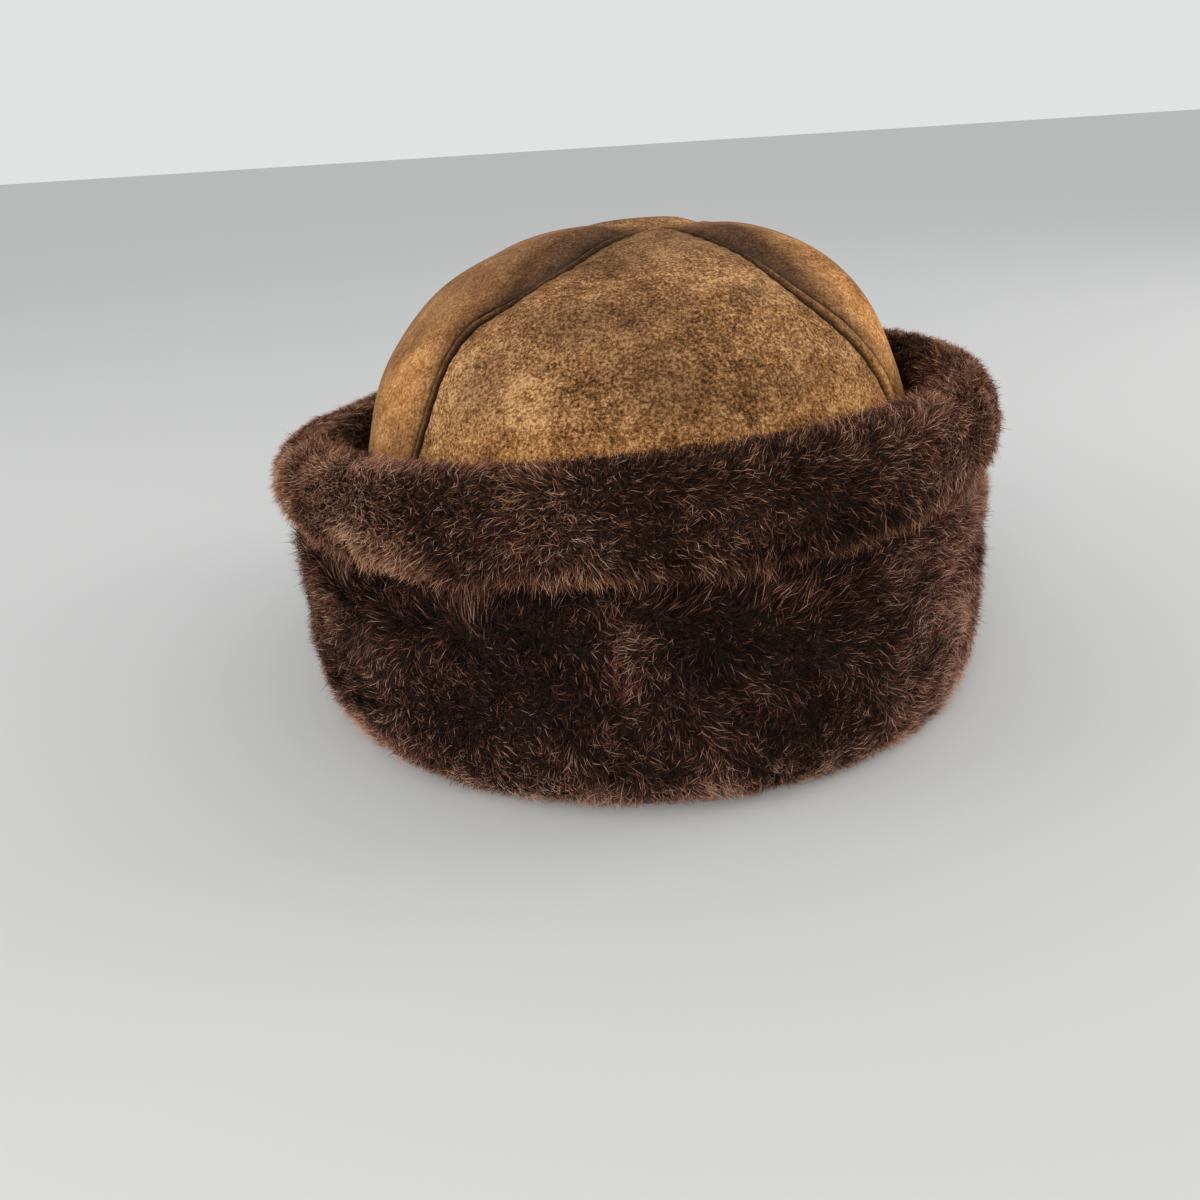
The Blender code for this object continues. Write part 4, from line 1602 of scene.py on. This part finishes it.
@dataclass(frozen=True)
class RollRing(FleeceRing):
    """Upper roll, which overhangs the band and turns over the cuff's top edge.

    Pairs are the two values that a smooth step runs between: shares of the section, metres or, for the
    painted light of the sides and the painted shade of the inner face, shares of the distance out.
    """

    gap: float = 0.6 * MM
    hanging: float = 3.2 * MM
    hanging_change: float = 0.8
    hanging_size: float = 13 * MM
    hanging_shares: tuple[float, float] = (0.10, 0.28)
    brushed_in: float = 3.0 * MM
    brushed_shares: tuple[float, float] = (0.42, 0.62)
    spill_mean: float = 0.2
    spill_change: float = 0.15
    spill_shares: tuple[float, float] = (0.12, 0.25)
    top_painted_light: float = 0.04
    top_heights: tuple[float, float] = (88 * MM, 108 * MM)
    side_painted_light: float = 0.38
    side_places: tuple[float, float] = (0.35, 0.85)
    inner_painted_shade: float = -0.42
    inner_out: float = 12 * MM
    inner_places: tuple[float, float] = (0.96, 1.04)

    def edges(self, azimuth: np.ndarray) -> tuple[np.ndarray, np.ndarray]:
        """Just over the groove, and the top edge."""
        return self.cuff.groove_height(azimuth) + self.gap, self.cuff.top_height(azimuth)

    def comb(self, place: np.ndarray, share: np.ndarray) -> np.ndarray:
        """The lower edge hangs down over the groove in uneven tufts, and the top is brushed inwards.

        Args:
            place: the fibres' places.
            share: how far along the section each fibre stands.

        Returns:
            The brushing along the section, in metres.
        """
        hanging = self.hanging * (1 + self.hanging_change * ripple(place, self.hanging_size, 33))
        inwards = self.brushed_in * smoothstep(share, *self.brushed_shares)
        return inwards - hanging * (1 - smoothstep(share, *self.hanging_shares))

    def spill(self, place: np.ndarray, share: np.ndarray) -> np.ndarray:
        """Fibres reach out at the lower edge, over the groove, in uneven tufts."""
        tufts = self.spill_mean + self.spill_change * ripple(place, self.hanging_size, 34)
        return tufts * (1 - smoothstep(share, *self.spill_shares))

    def painted_light_and_bleach(self, place: np.ndarray) -> np.ndarray:
        """Painted light on the fibres along the top edge and at the sides, and painted shade on the inner
        face.

        Args:
            place: the fibres' places.

        Returns:
            The change of tone.
        """
        oval = self.cuff.oval
        aside = np.abs(place[:, 0]) / (oval.half_width + self.cuff.fleece_out)
        half_width, half_length = oval.half_width + self.inner_out, oval.half_length + self.inner_out
        reach = np.hypot(place[:, 0] / half_width, place[:, 1] / half_length)
        inner = 1 - smoothstep(reach, *self.inner_places)
        top = self.top_painted_light * smoothstep(place[:, 2], *self.top_heights)
        return top + self.side_painted_light * smoothstep(aside, *self.side_places) + self.inner_painted_shade * inner


# The studio.


@dataclass(frozen=True)
class SoftBox:
    """Area light aimed at the hat: place in metres, size, power and hex colour."""

    name: str
    place: tuple[float, float, float]
    size: float
    power: float
    colour: str


@dataclass(frozen=True)
class Studio:
    """Plain pale floor, soft light and the camera."""

    floor_side: float = 12.0
    floor_colour: str = "cbcccd"
    world_colour: str = "eef0ef"
    world_strength: float = 0.88
    yaw: float = -6.3
    elevation: float = 17.6
    tilt: float = -2.6
    distance: float = 436 * MM
    aim: tuple[float, float, float] = (2.6 * MM, -1.5 * MM, 60 * MM)
    aim_pixel: tuple[float, float] = (635.9, 484.0)
    focal_pixels: float = 1143.0
    picture: int = 1200
    sensor: float = 36.0
    boxes: tuple[SoftBox, ...] = (
        SoftBox("softbox_over", (-0.35, -1.08, 0.60), 0.45, 6.0, "fffaf2"),
        SoftBox("softbox_left", (-1.1, -0.1, 0.5), 0.6, 2.5, "fffaf4"),
        SoftBox("softbox_right", (1.1, 0.1, 0.5), 0.6, 4.5, "fffaf4"),
    )

    def camera_matrix(self) -> np.ndarray:
        """Camera axes and place in the world.

        The camera stands at its distance from the aim, along the yaw and elevation. Its axes are turned so
        that the aim falls on its pixel, and tilted about the line of sight.

        Returns:
            The 4 by 4 matrix of a camera that looks along its own -Z.
        """
        yaw, elevation, tilt = (math.radians(angle) for angle in (self.yaw, self.elevation, self.tilt))
        back = np.array(
            (math.sin(yaw) * math.cos(elevation), -math.cos(yaw) * math.cos(elevation), math.sin(elevation))
        )
        place = np.array(self.aim) + back * self.distance
        forward = -back
        right = unit(np.cross(forward, (0, 0, 1)))
        up = np.cross(right, forward)
        centre = self.picture / 2
        seen = unit(np.array((self.aim_pixel[0] - centre, self.aim_pixel[1] - centre, self.focal_pixels)))
        down = unit(np.array((0, 1, 0)) - seen * seen[1])
        aside = np.cross(down, seen)
        turned_aside = math.cos(tilt) * aside + math.sin(tilt) * down
        turned_down = -math.sin(tilt) * aside + math.cos(tilt) * down
        axes = np.outer(right, turned_aside) - np.outer(up, turned_down) + np.outer(forward, seen)
        matrix = np.eye(4)
        matrix[:3, :3] = np.stack([axes[:, 0], -axes[:, 1], -axes[:, 2]], -1)
        matrix[:3, 3] = place
        return matrix

    def add_floor(self) -> None:
        """Floor of matt pale paper."""
        half = self.floor_side / 2
        corners = np.array([(-half, -half, 0), (half, -half, 0), (half, half, 0), (-half, half, 0)])
        mesh = make_mesh("floor", corners - ORIGIN_SHIFT, np.array([[0, 1, 2, 3]]), np.zeros((0, 3), int))
        colour = linear(self.floor_colour)
        material, _, _ = new_material("matt_paper", {"Base Color": colour, "Roughness": 0.9})
        mesh.materials.append(material)
        floor = bpy.data.objects.new("floor", mesh)
        bpy.context.scene.collection.objects.link(floor)

    def add_lights(self) -> None:
        """Soft boxes round the hat, and an even pale surrounding."""
        world = bpy.data.worlds.new("pale_room")
        world.use_nodes = True
        background = world.node_tree.nodes["Background"]
        background.inputs["Color"].default_value = linear(self.world_colour)
        background.inputs["Strength"].default_value = self.world_strength
        bpy.context.scene.world = world
        for box in self.boxes:
            light = bpy.data.lights.new(box.name, "AREA")
            light.size = box.size
            light.energy = box.power
            light.color = linear(box.colour)[:3]
            lamp = bpy.data.objects.new(box.name, light)
            away = unit(np.array(box.place) - np.array(self.aim))
            side = unit(np.cross((0, 1, 0), away))
            matrix = np.eye(4)
            matrix[:3, :3] = np.stack([side, np.cross(away, side), away], -1)
            matrix[:3, 3] = box.place
            lamp.matrix_world = Matrix(matrix.tolist())
            bpy.context.scene.collection.objects.link(lamp)

    def add_camera(self) -> None:
        """Camera at the photograph's viewing angle."""
        camera = bpy.data.cameras.new("camera")
        camera.sensor_width = self.sensor
        camera.lens = self.focal_pixels / self.picture * self.sensor
        camera.clip_start = 0.01
        view = bpy.data.objects.new("camera", camera)
        view.matrix_world = Matrix(self.camera_matrix().tolist())
        bpy.context.scene.collection.objects.link(view)
        bpy.context.scene.camera = view

    def build(self) -> None:
        """Builds the floor, the lights and the camera."""
        self.add_floor()
        self.add_lights()
        self.add_camera()
        bpy.context.scene.view_settings.view_transform = "Standard"
        LOG.info("studio: camera at %s", [round(v, 4) for v in self.camera_matrix()[:3, 3]])


# The hat.

BAND_TIPS = (
    Station(15.5 * MM, 0.00, 0.0),
    Station(20.5 * MM, 0.045, 0.5),
    Station(23.5 * MM, 0.16, 1.0),
    Station(24.5 * MM, 0.40, 1.0),
    Station(24.5 * MM, 0.64, 1.0),
    Station(24.5 * MM, 0.84, 0.8),
    Station(22.0 * MM, 0.96, 0.2),
    Station(15.5 * MM, 1.00, 0.0),
)
BAND_PILE = (
    Station(10.0 * MM, 0.01, 0.0),
    Station(15.5 * MM, 0.045, 0.2),
    Station(19.0 * MM, 0.16, 0.7),
    Station(20.2 * MM, 0.40, 0.7),
    Station(20.2 * MM, 0.64, 0.7),
    Station(19.8 * MM, 0.83, 0.6),
    Station(18.0 * MM, 0.93, 0.2),
    Station(12.5 * MM, 0.95, 0.0),
)
# The band's plain back lies against the hide, under its fold and on the floor
BAND_TAIL = (
    (10.8 * MM, 0.95),
    (10.8 * MM, 0.5),
    (10.8 * MM, 0.077),
    (-3.2 * MM, 0.077),
    (-1.7 * MM, 0.027),
    (0.3 * MM, 0.0),
)

# Changes of tone, as the photograph shows them at the front
# The wide lighter patch on the right is painted light, and the darker patches are painted shade in hollows
BAND_SHADES = (
    Patch(354, 58 * MM, 0.12, 4 * MM, 9 * MM),
    Patch(352, 44 * MM, 0.14, 4 * MM, 10 * MM),
    Patch(349, 30 * MM, 0.12, 5 * MM, 10 * MM),
    Patch(347, 18 * MM, 0.14, 7 * MM, 10 * MM),
    Patch(329, 67 * MM, 0.13, 6 * MM, 7 * MM),
    Patch(336, 28 * MM, 0.10, 10 * MM, 10 * MM),
    Patch(38, 50 * MM, 0.14, 20 * MM, 24 * MM),
    Patch(339, 59 * MM, -0.10, 14 * MM, 14 * MM),
    Patch(7, 50 * MM, -0.08, 22 * MM, 18 * MM),
    Patch(325, 39 * MM, -0.10, 12 * MM, 14 * MM),
)

ROLL_TIPS = (
    Station(15.5 * MM, 0.03, 0.0),
    Station(22.0 * MM, -0.06, 0.4),
    Station(27.0 * MM, 0.12, 1.0),
    Station(28.0 * MM, 0.38, 1.0),
    Station(26.5 * MM, 0.66, 1.0),
    Station(22.0 * MM, 0.90, 0.9),
    Station(14.5 * MM, 1.00, 0.7),
    Station(7.0 * MM, 0.97, 0.5),
    Station(3.0 * MM, 0.82, 0.3),
    Station(1.8 * MM, 0.55, 0.2),
    Station(5.0 * MM, 0.30, 0.0),
)
ROLL_PILE = (
    Station(13.5 * MM, 0.12, 0.0),
    Station(19.0 * MM, 0.07, 0.2),
    Station(22.8 * MM, 0.18, 0.7),
    Station(23.8 * MM, 0.40, 0.7),
    Station(22.3 * MM, 0.64, 0.7),
    Station(18.5 * MM, 0.82, 0.6),
    Station(13.5 * MM, 0.89, 0.5),
    Station(9.2 * MM, 0.86, 0.3),
    Station(6.4 * MM, 0.76, 0.1),
    Station(5.4 * MM, 0.55, 0.0),
    Station(7.6 * MM, 0.36, 0.0),
)
ROLL_TAIL = ((8.2 * MM, 0.36), (8.2 * MM, 0.60), (10.8 * MM, 0.60), (10.8 * MM, 0.14))

# The darker patches are painted shade, most of all in the groove on the right
ROLL_SHADES = (
    Patch(340, 97 * MM, 0.16, 6 * MM, 10 * MM),
    Patch(346, 98 * MM, 0.14, 5 * MM, 10 * MM),
    Patch(332, 95 * MM, 0.08, 8 * MM, 10 * MM),
    Patch(358, 79 * MM, 0.14, 13 * MM, 4 * MM),
    Patch(314, 84 * MM, 0.04, 12 * MM, 8 * MM),
    Patch(326, 84 * MM, -0.12, 10 * MM, 8 * MM),
    Patch(27, 82 * MM, -0.30, 22 * MM, 5 * MM),
    Patch(355, 91 * MM, -0.06, 12 * MM, 7 * MM),
)

# Fibre colours by tone, from near black to fawn
BAND_TONES = ((0.0, "150b09"), (0.3, "38221c"), (0.55, "724638"), (0.8, "a9725c"), (1.0, "deb096"))
ROLL_TONES = ((0.0, "1c0f0b"), (0.3, "4a2c21"), (0.55, "80523d"), (0.8, "b37c5f"), (1.0, "dcae90"))


def main() -> None:
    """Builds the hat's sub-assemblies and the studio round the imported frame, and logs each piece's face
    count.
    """
    logging.basicConfig(level=logging.INFO, format="%(name)s: %(message)s")
    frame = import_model()
    oval = PlanOval()
    suedes = {
        Slot.FRONT_SUEDE: BrushedSuede("brushed_suede_brown"),
        Slot.SIDE_SUEDE: BrushedSuede(
            "brushed_suede_tan", clean=("5a3a22", "92653e", "c4986c"), spread=0.10, nap_relief=0.9 * MM
        ),
        Slot.BACK_SUEDE: BrushedSuede("brushed_suede_dark"),
    }
    Crown(oval).build(suedes, WoolPile("clipped_wool_lining"), WaxedThread())
    skin_side = BrushedSuede("cuff_skin_side").material()
    for slot in frame["nodes"]["cuff_hide"].material_slots:
        slot.link, slot.material = "OBJECT", skin_side
    cuff = Cuff(oval)
    band = BandRing(
        "band_wool",
        "cuff_fleece",
        Slot.BAND_WOOL,
        cuff,
        BAND_TIPS,
        BAND_PILE,
        BAND_TAIL,
        swell_front=0.5 * MM,
        swell_right=-1.0 * MM,
        shades=BAND_SHADES,
        field=FibreField(count=130000, seed=101, flow=-35, tone=0.11),
    )
    band.build(WoolPile("band_wool_pile"), WoolFibre("band_wool_fibre", BAND_TONES))
    roll = RollRing(
        "roll_wool",
        "cuff_roll",
        Slot.ROLL_WOOL,
        cuff,
        ROLL_TIPS,
        ROLL_PILE,
        ROLL_TAIL,
        swell_front=-1.5 * MM,
        swell_right=-2.5 * MM,
        shades=ROLL_SHADES,
        field=FibreField(count=125000, seed=202, flow=-65, tone=0.21),
    )
    roll.build(WoolPile("roll_wool_pile"), WoolFibre("roll_wool_fibre", ROLL_TONES))
    Studio().build()


if __name__ == "__main__":
    main()
